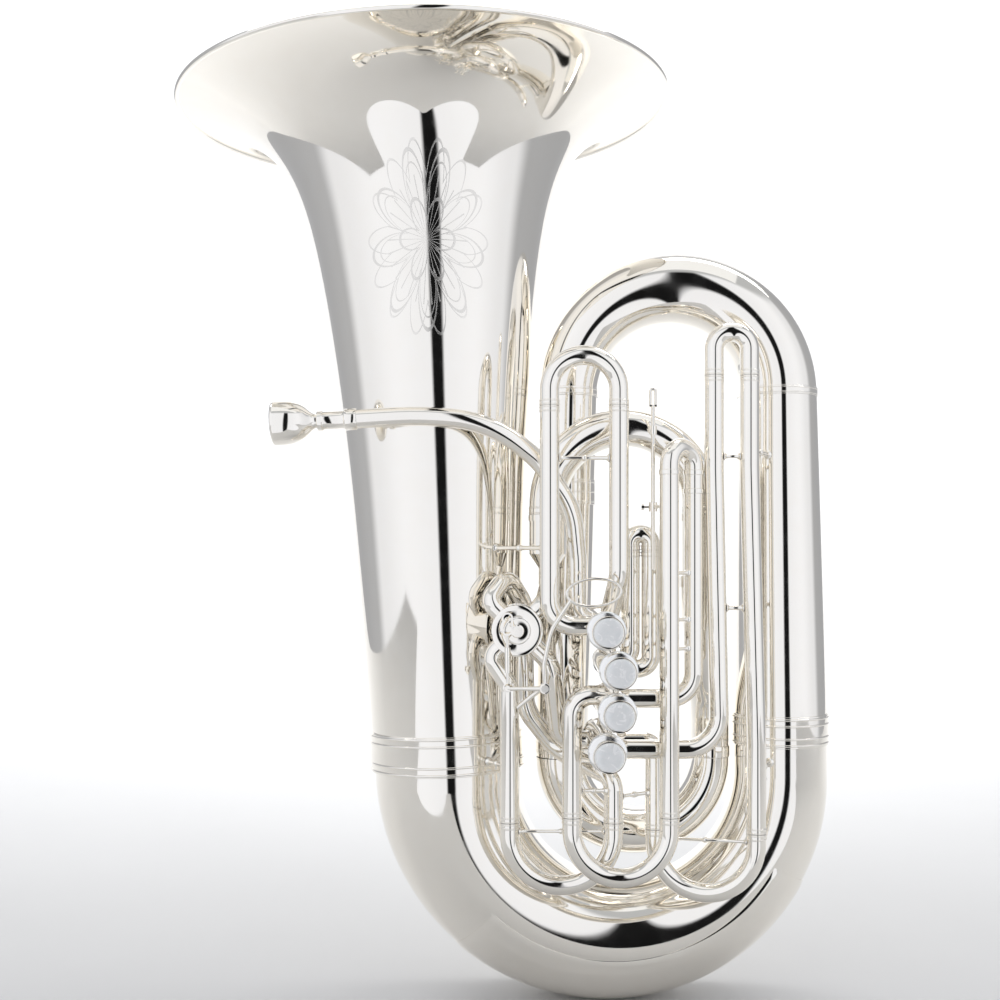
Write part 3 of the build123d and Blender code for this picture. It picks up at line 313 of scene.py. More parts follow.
def metal(name, low, high, rough, wave=0.0, scale=60.0):
    """Polished metal with slight haze and a faint unevenness."""
    material, nodes, links, shader = node_material(name)
    shader.inputs["Metallic"].default_value = 1.0
    haze = noise(nodes, links, scale)
    links.new(tinted(nodes, links, haze.outputs["Fac"], low, high), shader.inputs["Base Color"])
    links.new(mapped(nodes, links, haze.outputs["Fac"], *rough), shader.inputs["Roughness"])
    if wave:
        swell = noise(nodes, links, 9.0, 1.0)
        bump = nodes.new("ShaderNodeBump")
        bump.inputs["Strength"].default_value = wave
        bump.inputs["Distance"].default_value = 0.0004
        links.new(swell.outputs["Fac"], bump.inputs["Height"])
        links.new(bump.outputs["Normal"], shader.inputs["Normal"])
    return material


SILVER = ((0.962, 0.918, 0.840), (0.978, 0.945, 0.880))
silver = metal("silver_plate", *SILVER, (0.035, 0.075), wave=0.12)
silver_tube = metal("silver_tube", *SILVER, (0.04, 0.08), scale=140.0)
knurled = metal("silver_knurled", (0.90, 0.885, 0.85), (0.95, 0.94, 0.91), (0.10, 0.18), scale=300.0)
steel = metal("spring_steel", (0.40, 0.40, 0.41), (0.55, 0.55, 0.56), (0.25, 0.4), scale=400.0)
nickel = metal("piston_metal", (0.72, 0.70, 0.66), (0.80, 0.78, 0.74), (0.18, 0.30), scale=200.0)


def bell_material():
    """Polished silver with a lightly cut leaf ornament on the front of the bell."""
    material, nodes, links, shader = node_material("engraved_silver")
    shader.inputs["Metallic"].default_value = 1.0
    haze = noise(nodes, links, 60.0)
    place = nodes.new("ShaderNodeTexCoord")
    apart = nodes.new("ShaderNodeSeparateXYZ")
    links.new(place.outputs["Object"], apart.inputs["Vector"])

    def maths(operation, first, second=None):
        node = nodes.new("ShaderNodeMath")
        node.operation = operation
        for socket, value in zip(node.inputs, (first, second)):
            if isinstance(value, (int, float)):
                socket.default_value = value
            elif value is not None:
                links.new(value, socket)
        return node.outputs["Value"]

    across = maths("DIVIDE", maths("ADD", apart.outputs["X"], 0.187), 0.062)
    upward = maths("DIVIDE", maths("SUBTRACT", apart.outputs["Z"], 0.762), 0.098)
    reach = maths("ADD", maths("MULTIPLY", across, across), maths("MULTIPLY", upward, upward))
    inside = maths("MAXIMUM", maths("SUBTRACT", 1.0, reach), 0.0)
    front = maths("LESS_THAN", apart.outputs["Y"], -0.02)
    turn = maths("ARCTAN2", across, upward)
    radius = maths("SQRT", reach)

    def outline(count, low, high, width):
        """The edge of a ring of petals."""
        petal = maths("ABSOLUTE", maths("SINE", maths("MULTIPLY", turn, count / 2)))
        edge = maths("ADD", low, maths("MULTIPLY", petal, high))
        return maths("LESS_THAN", maths("ABSOLUTE", maths("SUBTRACT", radius, edge)), width)

    veins = maths("GREATER_THAN", maths("ABSOLUTE", maths("SINE", maths("MULTIPLY", turn, 15.0))), 0.985)
    veins = maths("MULTIPLY", veins, maths("LESS_THAN", radius, 0.62))
    lines = maths("ADD", outline(9, 0.36, 0.5, 0.02), outline(6, 0.16, 0.26, 0.018))
    lines = maths("ADD", lines, maths("ADD", outline(14, 0.58, 0.34, 0.014), outline(9, 0.3, 0.44, 0.009)))
    lines = maths("MINIMUM", maths("ADD", lines, veins), 1.0)
    cut = maths("MULTIPLY", maths("MULTIPLY", lines, front), maths("MINIMUM", maths("MULTIPLY", inside, 4.0),
        1.0))
    rough = maths("ADD", mapped(nodes, links, haze.outputs["Fac"], 0.03, 0.065), maths("MULTIPLY", cut, 0.17))
    links.new(rough, shader.inputs["Roughness"])
    bump = nodes.new("ShaderNodeBump")
    bump.inputs["Strength"].default_value = 0.12
    bump.inputs["Distance"].default_value = 0.0002
    links.new(cut, bump.inputs["Height"])
    links.new(bump.outputs["Normal"], shader.inputs["Normal"])
    tone = nodes.new("ShaderNodeMix")
    tone.data_type = "RGBA"
    links.new(maths("MULTIPLY", cut, 0.3), tone.inputs[0])
    links.new(tinted(nodes, links, haze.outputs["Fac"], *SILVER), tone.inputs[6])
    tone.inputs[7].default_value = (0.42, 0.41, 0.39, 1)
    links.new(tone.outputs[2], shader.inputs["Base Color"])
    return material


def pearl_material():
    """White shell with soft drifting bands."""
    material, nodes, links, shader = node_material("pearl_shell")
    drift = noise(nodes, links, 110.0, 2.0)
    drift.inputs["Distortion"].default_value = 1.6
    links.new(tinted(nodes, links, drift.outputs["Fac"], (0.80, 0.83, 0.82), (0.97, 0.95, 0.93)),
        shader.inputs["Base Color"])
    links.new(mapped(nodes, links, drift.outputs["Fac"], 0.12, 0.3), shader.inputs["Roughness"])
    shader.inputs["Metallic"].default_value = 0.08
    shader.inputs["Coat Weight"].default_value = 0.6
    shader.inputs["Coat Roughness"].default_value = 0.05
    return material


engraved = bell_material()
pearl = pearl_material()


# ---------------------------------------------------------------- pieces
def piece(name, shape, body="horn", material=None, nodes=(), sharp=35.0):
    mesh = bpy.data.meshes.new(name)
    mesh.from_pydata([tuple(p * MM) for p in shape.points], [], shape.faces)
    work = bmesh.new()
    work.from_mesh(mesh)
    bmesh.ops.recalc_face_normals(work, faces=work.faces)
    work.to_mesh(mesh)
    work.free()
    mesh.shade_smooth()
    mesh.set_sharp_from_angle(angle=radians(sharp))
    mesh.materials.append(material or silver_tube)
    made = bpy.data.objects.new(name, mesh)
    bpy.context.scene.collection.objects.link(made)
    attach(made, body)
    if nodes:
        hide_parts(*nodes)
    return made


# Bell, rolled rim and ferrules
shape = Shape()
outside = smooth_curve([(r, h) for h, r in BELL_PROFILE], 9)
inside = smooth_curve([(r - WALL, h + WALL * min(1.0, r / 400)) for h, r in BELL_PROFILE], 9)
turned(shape, BELL_FOOT, BELL_AXIS, outside + inside[::-1], 224)
piece("spun_bell", shape, material=engraved, nodes=["bell"])

shape = Shape()
bead = []
for i in range(24):
    a = 2 * pi * i / 24
    bead.append((BELL_RIM_RADIUS + BEAD_RADIUS * cos(a), BELL_LENGTH + 0.4 + BEAD_RADIUS * sin(a)))
turned(shape, BELL_FOOT, BELL_AXIS, bead, 224)
piece("rolled_rim", shape, material=silver, nodes=["bell_rim_bead"])

shape = Shape()
turned(shape, BELL_FOOT, BELL_AXIS, band_profile(80.2, 76.1, 11, 51, (13.4, 20.5, 41.5, 48.6), 1.0), 160)
piece("bell_ferrule_band", shape, material=silver, nodes=["bell_ferrule"])

shape = Shape()
foot = Vector((BOW_RADIUS, 0, 280))
turned(shape, foot, (0, 0, 1), band_profile(50.0, 48.55, -16, 16, (-13, -6.5, 6.5, 13), 1.0), 128)
piece("bow_ferrule_band", shape, material=silver, nodes=["bow_ferrule_right"])

# Bottom bow with its straight ends, and the guard over its outer half
steps = 96
bow = arc_path((0, BOW_CENTRE_Z), BOW_RADIUS, 182.02, 360, steps)
radii = eased(BOW_TUBE, steps)
path = [BELL_FOOT + BELL_AXIS * 29.8] + bow + [Vector((BOW_RADIUS, 0, 279))]
shape = Shape()
swept(shape, path, [BOW_TUBE[0]] + radii + [BOW_TUBE[2]], BOW_TUBE[0] - WALL, 112)
piece("bent_bottom_bow", shape, material=silver, nodes=["bottom_bow"])

shape = Shape()
rings = []
first, last = 24, 80
for i in range(first, last + 1):
    centre = bow[i]
    out = (centre - Vector((0, 0, BOW_CENTRE_Z))).normalized()
    fade = min(1.0, 0.3 + min(i - first, last - i) * 0.7)
    over = radii[i] + 0.1 + (GUARD_THICKNESS - 0.1) * fade
    limit = (pi / 2 - 8.0 / over) * 0.995
    outer_arc, inner_arc = [], []
    for k in range(49):
        a = -limit + 2 * limit * k / 48
        edge = min(1.0, 0.25 + min(k, 48 - k) * 0.6)
        lift = radii[i] + 0.05 + (over - radii[i] - 0.05) * edge
        outer_arc.append(centre + (out * cos(a) + Vector((0, 1, 0)) * sin(a)) * lift)
        inner_arc.append(centre + (out * cos(a) + Vector((0, 1, 0)) * sin(a)) * (radii[i] + 0.05))
    rings.append([Vector((p.x, p.y, max(p.z, 0.0))) for p in outer_arc + inner_arc[::-1]])
shape.skin(rings)
piece("bow_guard_plate", shape, material=silver, nodes=["bottom_bow_guard"])

# Branches, top bow and inner bow
shape = Shape()
right_x, left_x = TOP_CENTRE[0] + TOP_RADIUS, TOP_CENTRE[0] - TOP_RADIUS
inner_left, inner_right = INNER_CENTRE[0] - INNER_RADIUS, INNER_CENTRE[0] + INNER_RADIUS
run = [(BOW_RADIUS, 0, 280), (BOW_RADIUS, 0, 298), (right_x, 0, TOP_CENTRE[1] - 0.2)]
swept(shape, run, [BOW_TUBE[2], BOW_TUBE[2], TOP_TUBE[0]], BOW_TUBE[2] - WALL, 96)
piece("long_branch", shape, material=silver, nodes=["large_branch"])

shape = Shape()
swept(shape, arc_path(TOP_CENTRE, TOP_RADIUS, 0, 180, 72), eased(TOP_TUBE, 72), TOP_TUBE[0] - WALL, 96)
piece("bent_top_bow", shape, material=silver, nodes=["top_bow"])

shape = Shape()
for x, radius in ((right_x, TOP_TUBE[0]), (left_x, TOP_TUBE[2])):
    turned(shape, (x, 0, TOP_CENTRE[1]), (0, 0, 1), band_profile(radius + 0.9, radius + 0.3, -4.5, 4.5,
        (-2.5, 2.5), 0.5), 96)
piece("top_bow_bands", shape, material=silver, nodes=["top_bow_ferrules"])

shape = Shape()
run = [(inner_left, 0, INNER_CENTRE[1] + 0.2), (left_x, 0, TOP_CENTRE[1] - 0.2)]
swept(shape, run, [INNER_TUBE[0], TOP_TUBE[2]], INNER_TUBE[0] - WALL, 80)
piece("short_branch", shape, material=silver, nodes=["left_branch"])

shape = Shape()
for z, length in ((525.0, 26.0), (INNER_CENTRE[1] + 12, 14.0)):
    t = (TOP_CENTRE[1] - z) / (TOP_CENTRE[1] - INNER_CENTRE[1])
    x = left_x + (inner_left - left_x) * t
    radius = TOP_TUBE[2] + (INNER_TUBE[0] - TOP_TUBE[2]) * t
    beads = (-10, 0, 10) if length > 20 else (-4, 4)
    turned(shape, (x, 0, z), (0, 0, 1), band_profile(radius + 0.9, radius, -length / 2, length / 2, beads,
        0.6), 80)
piece("branch_bands", shape, material=silver, nodes=["branch_ferrules"])

shape = Shape()
swept(shape, arc_path(INNER_CENTRE, INNER_RADIUS, 180, 360, 72), eased(INNER_TUBE, 72), INNER_TUBE[0] - WALL,
    80)
piece("bent_inner_bow", shape, material=silver, nodes=["inner_bottom_bow"])

shape = Shape()
route = filleted([(inner_right, 0, 250.2), (inner_right, 0, 305), (MAIN_X[1], MAIN_Y, 405),
    (MAIN_X[1], MAIN_Y, 434.8)], 60)
swept(shape, route, INNER_TUBE[2], INNER_TUBE[2] - WALL, 64)
collar(shape, (inner_right, 0, 256), (0, 0, 1), INNER_TUBE[2] + 1.0, INNER_TUBE[2] - 0.3, 12)
piece("rising_branch", shape, nodes=["inner_branch"])

# Main tuning slide
shape = Shape()
swept(shape, crook_path((MAIN_X[0], MAIN_Y), (MAIN_X[1], MAIN_Y), 500, 511, steps=80), 18.6, 17.4, 64)
for x in MAIN_X:
    swept(shape, [(x, MAIN_Y, 467), (x, MAIN_Y, 501)], 18.0, 17.4, 64)
    turned(shape, (x, MAIN_Y, 500.3), (0, 0, 1), band_profile(19.1, 17.4, 0, 8, (1.6, 6.4), 0.5), 64)
piece("main_slide_crook", shape, "main_slide", nodes=["main_tuning_slide"])


def slide_piece(name, body, node, left, right, joint_z, crook_z, legs, bar_z=None):
    """Crook, rounded collars and inner legs of a valve slide."""
    made = Shape()
    up = 1 if crook_z > joint_z else -1
    swept(made, crook_path(left, right, joint_z, crook_z), SLEEVE_R - 0.1, LEG_BORE, 44)
    for (x, y), length in zip((left, right), legs):
        swept(made, [(x, y, joint_z + up * 0.4), (x, y, joint_z - up * length)], LEG_R, LEG_BORE, 44)
        middle = (x, y, joint_z + up * 3.3)
        turned(made, middle, (0, 0, 1), band_profile(9.6, LEG_BORE, -3, 3, (-1.7, 1.7), 0.5, 0.3), 44)
    if bar_z:
        a, b = Vector((*left, bar_z)), Vector((*right, bar_z))
        along = (b - a).normalized()
        length = (b - a).length - 18.2
        profile = [(0.001, 0), (3.4, 0), (3.2, 1.0), (2.2, 2.2), (1.6, 4.0)]
        profile += [(1.6, length / 2 - 3), (2.6, length / 2 - 1.2), (2.6, length / 2 + 1.2),
            (1.6, length / 2 + 3)]
        profile += [(1.6, length - 4.0), (2.2, length - 2.2), (3.2, length - 1.0), (3.4, length),
            (0.001, length)]
        turned(made, a + along * 9.1, along, profile, 20)
    piece(name, made, body, nodes=[node])


def end_collar(shape, x, y, joint_z, up):
    """The thickened end of an outer sleeve, with two fine bead lines."""
    end = joint_z - up * 3
    turned(shape, (x, y, end), (0, 0, 1), band_profile(9.6, SLEEVE_BORE, -3, 3, (-1.7, 1.7), 0.5, 0.3), 44)


FIRST = ((-70.3, FRONT_Y), (-4.2, FRONT_Y))
SECOND = ((10.6, BACK_Y), (30.6, BACK_Y))
THIRD = ((-48.9, FRONT_Y), (43.7, FRONT_Y))
FOURTH_TOP = ((90.0, MIDDLE_Y), (124.4, MIDDLE_Y))
FOURTH_LOW = ((34.6, BACK_Y), (131.0, MIDDLE_Y))
FIFTH = ((-108.6, FIFTH_Y), (-7.8, FIFTH_Y))
slide_piece("first_crook", "first_slide", "first_slide", *FIRST, 602, 617.4, (135, 135))
slide_piece("second_crook", "second_slide", "second_slide", *SECOND, 464, 471, (60, 60))
slide_piece("third_crook", "third_slide", "third_slide", *THIRD, 210.9, 198.9, (80, 80))
slide_piece("fourth_top_crook", "fourth_upper_slide", "fourth_upper_slide", *FOURTH_TOP, 634, 659.6, (80, 80))
slide_piece("fourth_low_crook", "fourth_lower_slide", "fourth_lower_slide", *FOURTH_LOW, 190, 178.6, (66, 80),
    181.1)
slide_piece("fifth_crook", "fifth_slide", "fifth_slide", *FIFTH, 201.5, 190.3, (85, 27), 192.6)


def drum(index):
    return (*VALVES[index], CASING_R - 0.3)


rotor_drum = (*ROTOR, ROTOR_R - 0.3)


def sleeve_piece(name, node, runs, collars, rings=()):
    """Outer slide tubes. Each run is (points, bend radii, drum it lands on), and each ring is a collar's middle."""
    made = Shape()
    for points, bends, landing in runs:
        swept(made, filleted(points, bends), SLEEVE_R, SLEEVE_BORE, 44, landing)
    for (x, y), joint_z, up in collars:
        end_collar(made, x, y, joint_z, up)
    for middle in rings:
        collar(made, middle, (0, 0, 1), COLLAR_R, SLEEVE_BORE, 5)
    return piece(name, made, nodes=[node])


sleeve_piece(
    "first_sleeves",
    "first_slide_sleeves",
    [
        ([(-70.3, FRONT_Y, 602), (-70.3, FRONT_Y, 392.7), (-26, FRONT_Y, 392.7)], 25, drum(0)),
        ([(-4.2, FRONT_Y, 602), (-4.2, FRONT_Y, 440), (-12, MIDDLE_Y, 400), (-14, MIDDLE_Y, 392)], [28, 12],
            drum(0)),
    ],
    [(FIRST[0], 602, 1), (FIRST[1], 602, 1)],
)

sleeve_piece(
    "second_sleeves",
    "second_slide_sleeves",
    [
        ([(10.6, BACK_Y, 464), (10.6, BACK_Y, 364), (0, BACK_Y, 349)], 12, drum(1)),
        ([(30.6, BACK_Y, 464), (30.6, BACK_Y, 346), (0, BACK_Y, 350)], 13, drum(1)),
    ],
    [(SECOND[0], 464, 1), (SECOND[1], 464, 1)],
)

sleeve_piece(
    "third_sleeves",
    "third_slide_sleeves",
    [
        ([(-48.9, FRONT_Y, 210.9), (-48.9, FRONT_Y, 327), (-16, FRONT_Y, 327)], 19, drum(2)),
        (
            [
                (43.7, FRONT_Y, 210.9),
                (43.7, FRONT_Y, 563.0),
                (70.0, MIDDLE_Y, 563.0),
                (70.0, MIDDLE_Y, 321),
                (0, MIDDLE_Y, 321),
            ],
            [18.0, 18.0, 25],
            drum(2),
        ),
    ],
    [(THIRD[0], 210.9, -1), (THIRD[1], 210.9, -1)],
    rings=((43.7, FRONT_Y, 539), (70.0, MIDDLE_Y, 522), (70.0, MIDDLE_Y, 540)),
)

sleeve_piece(
    "fourth_sleeves",
    "fourth_slide_sleeves",
    [
        (
            [(90.0, MIDDLE_Y, 634), (90.0, MIDDLE_Y, 544), (95.4, MIDDLE_Y, 271.7), (-8, MIDDLE_Y, 271.7)],
            [300, 33],
            drum(3),
        ),
        (
            [(124.4, MIDDLE_Y, 634), (124.4, MIDDLE_Y, 544), (131.0, MIDDLE_Y, 280), (131.0, MIDDLE_Y, 190)],
            [300, 300],
            None,
        ),
        ([(34.6, BACK_Y, 190), (34.6, BACK_Y, 277), (-6, BACK_Y, 277)], 13, drum(3)),
    ],
    [
        (FOURTH_TOP[0], 634, 1),
        (FOURTH_TOP[1], 634, 1),
        (FOURTH_LOW[0], 190, -1),
        (FOURTH_LOW[1], 190, -1),
    ],
)

sleeve_piece(
    "fifth_sleeves",
    "fifth_slide_sleeves",
    [
        (
            [(-108.6, FIFTH_Y, 201.5), (-108.6, FIFTH_Y, 333), (-127.5, -94, 361.0), (-118.0, -94, 370.5)],
            [16, 11.5],
            rotor_drum,
        ),
        (
            [
                (-7.8, FIFTH_Y, 201.5),
                (-7.8, FIFTH_Y, 244.5),
                (-60, -45, 262),
                (-93, -54, 305),
                (-95, -54, 412),
                (-112, -76, 440),
                (-129, -94, 415.5),
                (-118, -94, 404.5),
            ],
            [16, 30, 40, 22, 14, 11],
            rotor_drum,
        ),
    ],
    [(FIFTH[0], 201.5, -1), (FIFTH[1], 201.5, -1)],
)

# Leadpipe, receiver and mouthpiece
receiver_start = Vector((-291.5, -119.0, 587.9))
receiver_end = Vector((-262.0, -119.0, 589.6))
receiver_axis = (receiver_end - receiver_start).normalized()
receiver_length = (receiver_end - receiver_start).length - 0.4
shape = Shape()
route = filleted(
    [
        receiver_end,
        (-196, -119, 593.4),
        (-128, -118, 588.5),
        (-79, -101, 551),
        (-47, -92, 505),
        (-42, -88, 455),
        (-42, -85, 402),
        (-24, -85, 392),
    ],
    [320, 120, 110, 75, 90, 14],
    radians(3),
)
swept(shape, route, SLEEVE_R - 0.3, LEG_BORE, 48, drum(0))
piece("bent_leadpipe", shape, nodes=["leadpipe"])

shape = Shape()
profile = [(6.9, 0), (9.2, 0), (9.6, 0.5), (9.6, 4.3), (9.1, 5.0), (8.6, 6.0), (8.6, receiver_length - 5)]
profile += [(9.0, receiver_length - 3.6), (10.0, receiver_length - 3.0), (10.4, receiver_length - 2.2)]
profile += [(10.4, receiver_length + 7.6), (9.9, receiver_length + 8.5), (9.2, receiver_length + 8.5)]
profile += [(9.15, receiver_length + 0.2), (6.9, receiver_length)]
turned(shape, receiver_start, receiver_axis, profile, 64)
piece("turned_receiver", shape, nodes=["mouthpiece_receiver"])

shape = Shape()
rim_point = receiver_start - receiver_axis * 43
cup = smooth_curve([(21.5, 4.0), (21.45, 7.0), (21.1, 14), (19.4, 22), (16.0, 29), (11.2, 34.5), (8.2, 38),
    (6.85, 41)], 6)
profile = cup + [(6.0, 70.0), (4.9, 70.0), (3.9, 38.0)]
profile += smooth_curve([(4.3, 36.5), (7.5, 30.0), (11.6, 23.0), (14.6, 16.0), (16.0, 8.0), (16.4, 3.4)], 6)
for a in range(180, -1, -15):
    profile.append((18.95 + 2.55 * cos(radians(a)), 3.0 - 3.0 * sin(radians(a))))
turned(shape, rim_point, receiver_axis, profile, 96)
piece("turned_mouthpiece", shape, "mouthpiece", material=silver, nodes=["mouthpiece"])

# Valve caps, finger buttons and pearls
caps = Shape()
for x, z in VALVES:
    profile = [(4.0, 0), (8.6, 0), (9.5, 0.6), (9.5, 2.4), (16.0, 2.9), (17.4, 3.4), (18.2, 4.3)]
    profile += [(18.2, 6.0), (18.2, 7.4), (18.2, 9.0), (18.2, 10.6), (17.6, 11.4), (17.6, 12.2), (18.0, 12.6)]
    profile += [(18.0, 15.6), (17.5, 16.2), (16.7, 16.2), (16.7, 10.2), (4.0, 10.2)]
    turned(caps, (x, -162.4, z), (0, 1, 0), profile, 240, 60, 0.45, (7, 10))
piece("knurled_top_caps", caps, material=knurled, nodes=["valve_top_caps"])

for index, (x, z) in enumerate(VALVES):
    number = index + 1
    button = Shape()
    profile = [(0.001, 35.9), (3.4, 35.9), (3.4, 6.2), (4.2, 5.3), (6.5, 5.2), (7.0, 4.7), (10.0, 4.4),
        (13.8, 3.8)]
    profile += [(14.7, 3.3), (15.0, 2.5), (15.0, 1.8), (14.6, 1.1), (13.9, 1.0), (13.3, 1.2), (13.3, 2.4),
        (0.001, 2.4)]
    turned(button, (x, -184.0, z), (0, 1, 0), profile, 72)
    piece(f"button_dish_{number}", button, f"piston_{number}", nodes=[f"finger_button_{number}"])
    shell = Shape()
    profile = [(0.001, 2.3), (13.2, 2.3), (13.2, 1.0), (12.9, 0.5), (12.2, 0.15), (11.0, 0.0), (6.0, 0.1),
        (0.001, 0.12)]
    turned(shell, (x, -184.0, z), (0, 1, 0), profile, 72)
    piece(f"pearl_{number}", shell, f"piston_{number}", pearl, [f"button_pearl_{number}"])

# Return springs: open coils with flattened end turns, each at one fixed length
SPRING_START_Y = -58.9
SPRING_LENGTH = 24.8
SPRING_RADIUS = 12.0
WIRE_RADIUS = 0.7
SPRING_TURNS = 7
STEPS_PER_TURN = 28
FLAT_END_SHARE = 0.11
for index, (x, z) in enumerate(VALVES):
    number = index + 1
    coil = []
    for i in range(SPRING_TURNS * STEPS_PER_TURN + 1):
        share = i / (SPRING_TURNS * STEPS_PER_TURN)
        along = min(1.0, max(0.0, (share - FLAT_END_SHARE) / (1 - 2 * FLAT_END_SHARE)))
        turn = 2 * pi * SPRING_TURNS * share
        y = SPRING_START_Y + SPRING_LENGTH * along
        coil.append((x + SPRING_RADIUS * cos(turn), y, z + SPRING_RADIUS * sin(turn)))
    shape = Shape()
    swept(shape, coil, WIRE_RADIUS, 0, 12)
    spring = piece(f"coil_spring_{number}", shape, "horn", steel, [f"valve_spring_{number}"])
    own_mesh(spring)


# Rotary valve caps: the front one has a knurled edge, turned steps and a raised bearing
shape = Shape()
profile = [(3.05, -5.2), (5.6, -5.2), (6.5, -4.6), (6.5, -3.2), (9.0, -2.9), (12.0, -3.0), (12.6, -2.6),
    (13.4, -2.6)]
profile += [(14.0, -3.0), (21.0, -3.0), (23.6, -2.9), (24.6, -2.4), (25.0, -1.6), (25.0, -0.6), (24.6, 0.0),
    (3.05, 0.0)]
turned(shape, (ROTOR[0], -114.1, ROTOR[1]), (0, 1, 0), profile, 288, 72, 0.4, (12, 13))
profile = [(0.001, 0.0), (24.6, 0.0), (25.0, 0.5), (25.0, 2.2), (24.4, 2.9), (20.0, 3.0), (8.0, 3.0),
    (7.4, 2.6), (0.001, 2.6)]
turned(shape, (ROTOR[0], -73.9, ROTOR[1]), (0, 1, 0), profile, 96)
piece("turned_rotor_caps", shape, nodes=["rotor_caps"])

# Thumb lever: hub, short arm, long arm and a round-edged ring
shape = Shape()
lever_x, lever_y, lever_z = -75.0, -140.0, 335.0
collar(shape, (lever_x, lever_y + 2, lever_z), (0, 1, 0), 5.2, 2.05, 8, 40)
swept(shape, [(lever_x - 4.6, lever_y, lever_z), (lever_x - 20, lever_y, lever_z),
    (lever_x - 35, lever_y, lever_z)], [2.6, 2.0, 2.1], 0, 28)
turned(shape, (lever_x - 35, lever_y - 1.9, lever_z), (0, 1, 0),
    [(0.001, 0), (2.6, 0), (3.0, 0.4), (3.0, 3.6), (1.6, 4.0), (1.6, 9.3), (0.001, 9.3)], 32)
knots = [(lever_x, lever_z + 4.6), (lever_x - 1, lever_z + 22), (lever_x + 6, lever_z + 55),
    (lever_x + 24, lever_z + 82)]
swept(shape, filleted([(x, lever_y, z) for x, z in knots], [30, 40]), 2.2, 0, 28)
rings = []
for i in range(72):
    a = 2 * pi * i / 72
    out = Vector((cos(a) / 25.5, 0, sin(a) / 13.0)).normalized()
    centre = Vector((-29 + 25.5 * cos(a), lever_y, 425 + 13.0 * sin(a) + 1.3 * cos(a)))
    ring = []
    for j in range(20):
        b = 2 * pi * j / 20
        ring.append(centre + out * (1.5 * cos(b)) + Vector((0, 2.0 * sin(b), 0)))
    rings.append(ring)
shape.skin(rings, loop=True)
piece("bent_thumb_lever", shape, "thumb_lever", nodes=["thumb_lever"])

# Braces: turned posts with spread feet
def post(shape, start, end, radius, start_gap, end_gap):
    a, b = Vector(start), Vector(end)
    along = (b - a).normalized()
    length = (b - a).length - start_gap - end_gap
    feet = [(radius + 2.4, 0.0), (radius + 2.3, 0.7), (radius + 1.1, 1.5), (radius + 0.35, 2.6),
        (radius, 4.0)]
    profile = [(0.001, 0.0)] + feet
    if length > 24:
        for offset, extra in ((-2.4, 0.0), (-1.6, 0.9), (0.0, 1.3), (1.6, 0.9), (2.4, 0.0)):
            profile.append((radius + extra, length / 2 + offset))
    profile += [(r, length - d) for r, d in feet[::-1]] + [(0.001, length)]
    turned(shape, a + along * start_gap, along, profile, 28)


shape = Shape()
GAP = 9.2
post(shape, (*FIRST[0], 552.6), (*FIRST[1], 552.6), 1.9, GAP, GAP)
post(shape, (*FOURTH_TOP[0], 556), (*FOURTH_TOP[1], 556), 2.0, GAP, GAP)
post(shape, (92.7, MIDDLE_Y, 408.8), (127.8, MIDDLE_Y, 408.8), 2.0, GAP, GAP)
for z in (370, 398, 443):
    post(shape, (*THIRD[1], z), (70.0, MIDDLE_Y, z), 1.7, GAP, GAP)
post(shape, (*THIRD[0], 236), (*FIFTH[1], 232), 1.9, GAP, GAP)
post(shape, (*FIFTH[1], 226), (*FOURTH_LOW[0], 226), 1.9, GAP, GAP)
post(shape, (*FIFTH[0], 255), (-172.0, 0, 255), 2.0, GAP, 79.8)
post(shape, (*FIRST[0], 467), (-181.0, 0, 467), 2.2, GAP, 88.0)
post(shape, (*FOURTH_TOP[1], 562), (171.0, 0, 562), 2.4, GAP, 42.2)
post(shape, (*FOURTH_LOW[1], 250), (BOW_RADIUS, 0, 250), 2.4, GAP, 48.2)
piece("turned_braces", shape, nodes=["brace_posts"])

# ---------------------------------------------------------------- finish of the CAD nodes that stay
finishes = {"valve_spring": steel, "piston": nickel, "button_pearl": pearl, "rotor": silver_tube}
for node_name, node_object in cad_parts.items():
    finish = silver_tube
    for start, material in finishes.items():
        if node_name.startswith(start):
            finish = material
    node_object.data.materials.clear()
    node_object.data.materials.append(finish)
    node_object.data.shade_smooth()
    node_object.data.set_sharp_from_angle(angle=radians(32))

# ---------------------------------------------------------------- studio
stage_material, nodes, links, shader = node_material("stage_paper")
grain = noise(nodes, links, 3.0)
place = nodes.new("ShaderNodeTexCoord")
apart = nodes.new("ShaderNodeSeparateXYZ")
links.new(place.outputs["Object"], apart.inputs["Vector"])
# Painted light: the paper runs from grey at the front to near white at the back and up the curved wall. This is a
# painted falloff of the light, and the fine noise is the paper's own grain.
paper_painted_falloff = nodes.new("ShaderNodeMix")
paper_painted_falloff.data_type = "RGBA"
links.new(mapped(nodes, links, apart.outputs["Y"], 0.0, 1.0, 0.2, 1.7), paper_painted_falloff.inputs[0])
links.new(tinted(nodes, links, grain.outputs["Fac"], (0.665, 0.66, 0.65), (0.695, 0.69, 0.68)),
    paper_painted_falloff.inputs[6])
links.new(tinted(nodes, links, grain.outputs["Fac"], (0.88, 0.875, 0.865), (0.91, 0.905, 0.895)),
    paper_painted_falloff.inputs[7])
links.new(paper_painted_falloff.outputs[2], shader.inputs["Base Color"])
shader.inputs["Roughness"].default_value = 0.9
shader.inputs["Specular IOR Level"].default_value = 0.1
line = [(0.0, 0.0), (1.6, 0.0)]
for i in range(1, 13):
    a = pi / 2 * i / 12
    line.append((1.6 + 1.4 * sin(a), 1.4 - 1.4 * cos(a)))
line.append((3.0, 5.0))
verts, faces = [], []
columns = 88
for i in range(columns + 1):
    x = -2.3 + 4.4 * i / columns
    reach = abs(x + 0.13) / 0.42
    verts.append((x, max(-2.0, -0.5 - 0.35 * (reach - 1) ** 2), 0.0))
for y, z in line:
    verts += [(-2.3 + 4.4 * i / columns, y, z) for i in range(columns + 1)]
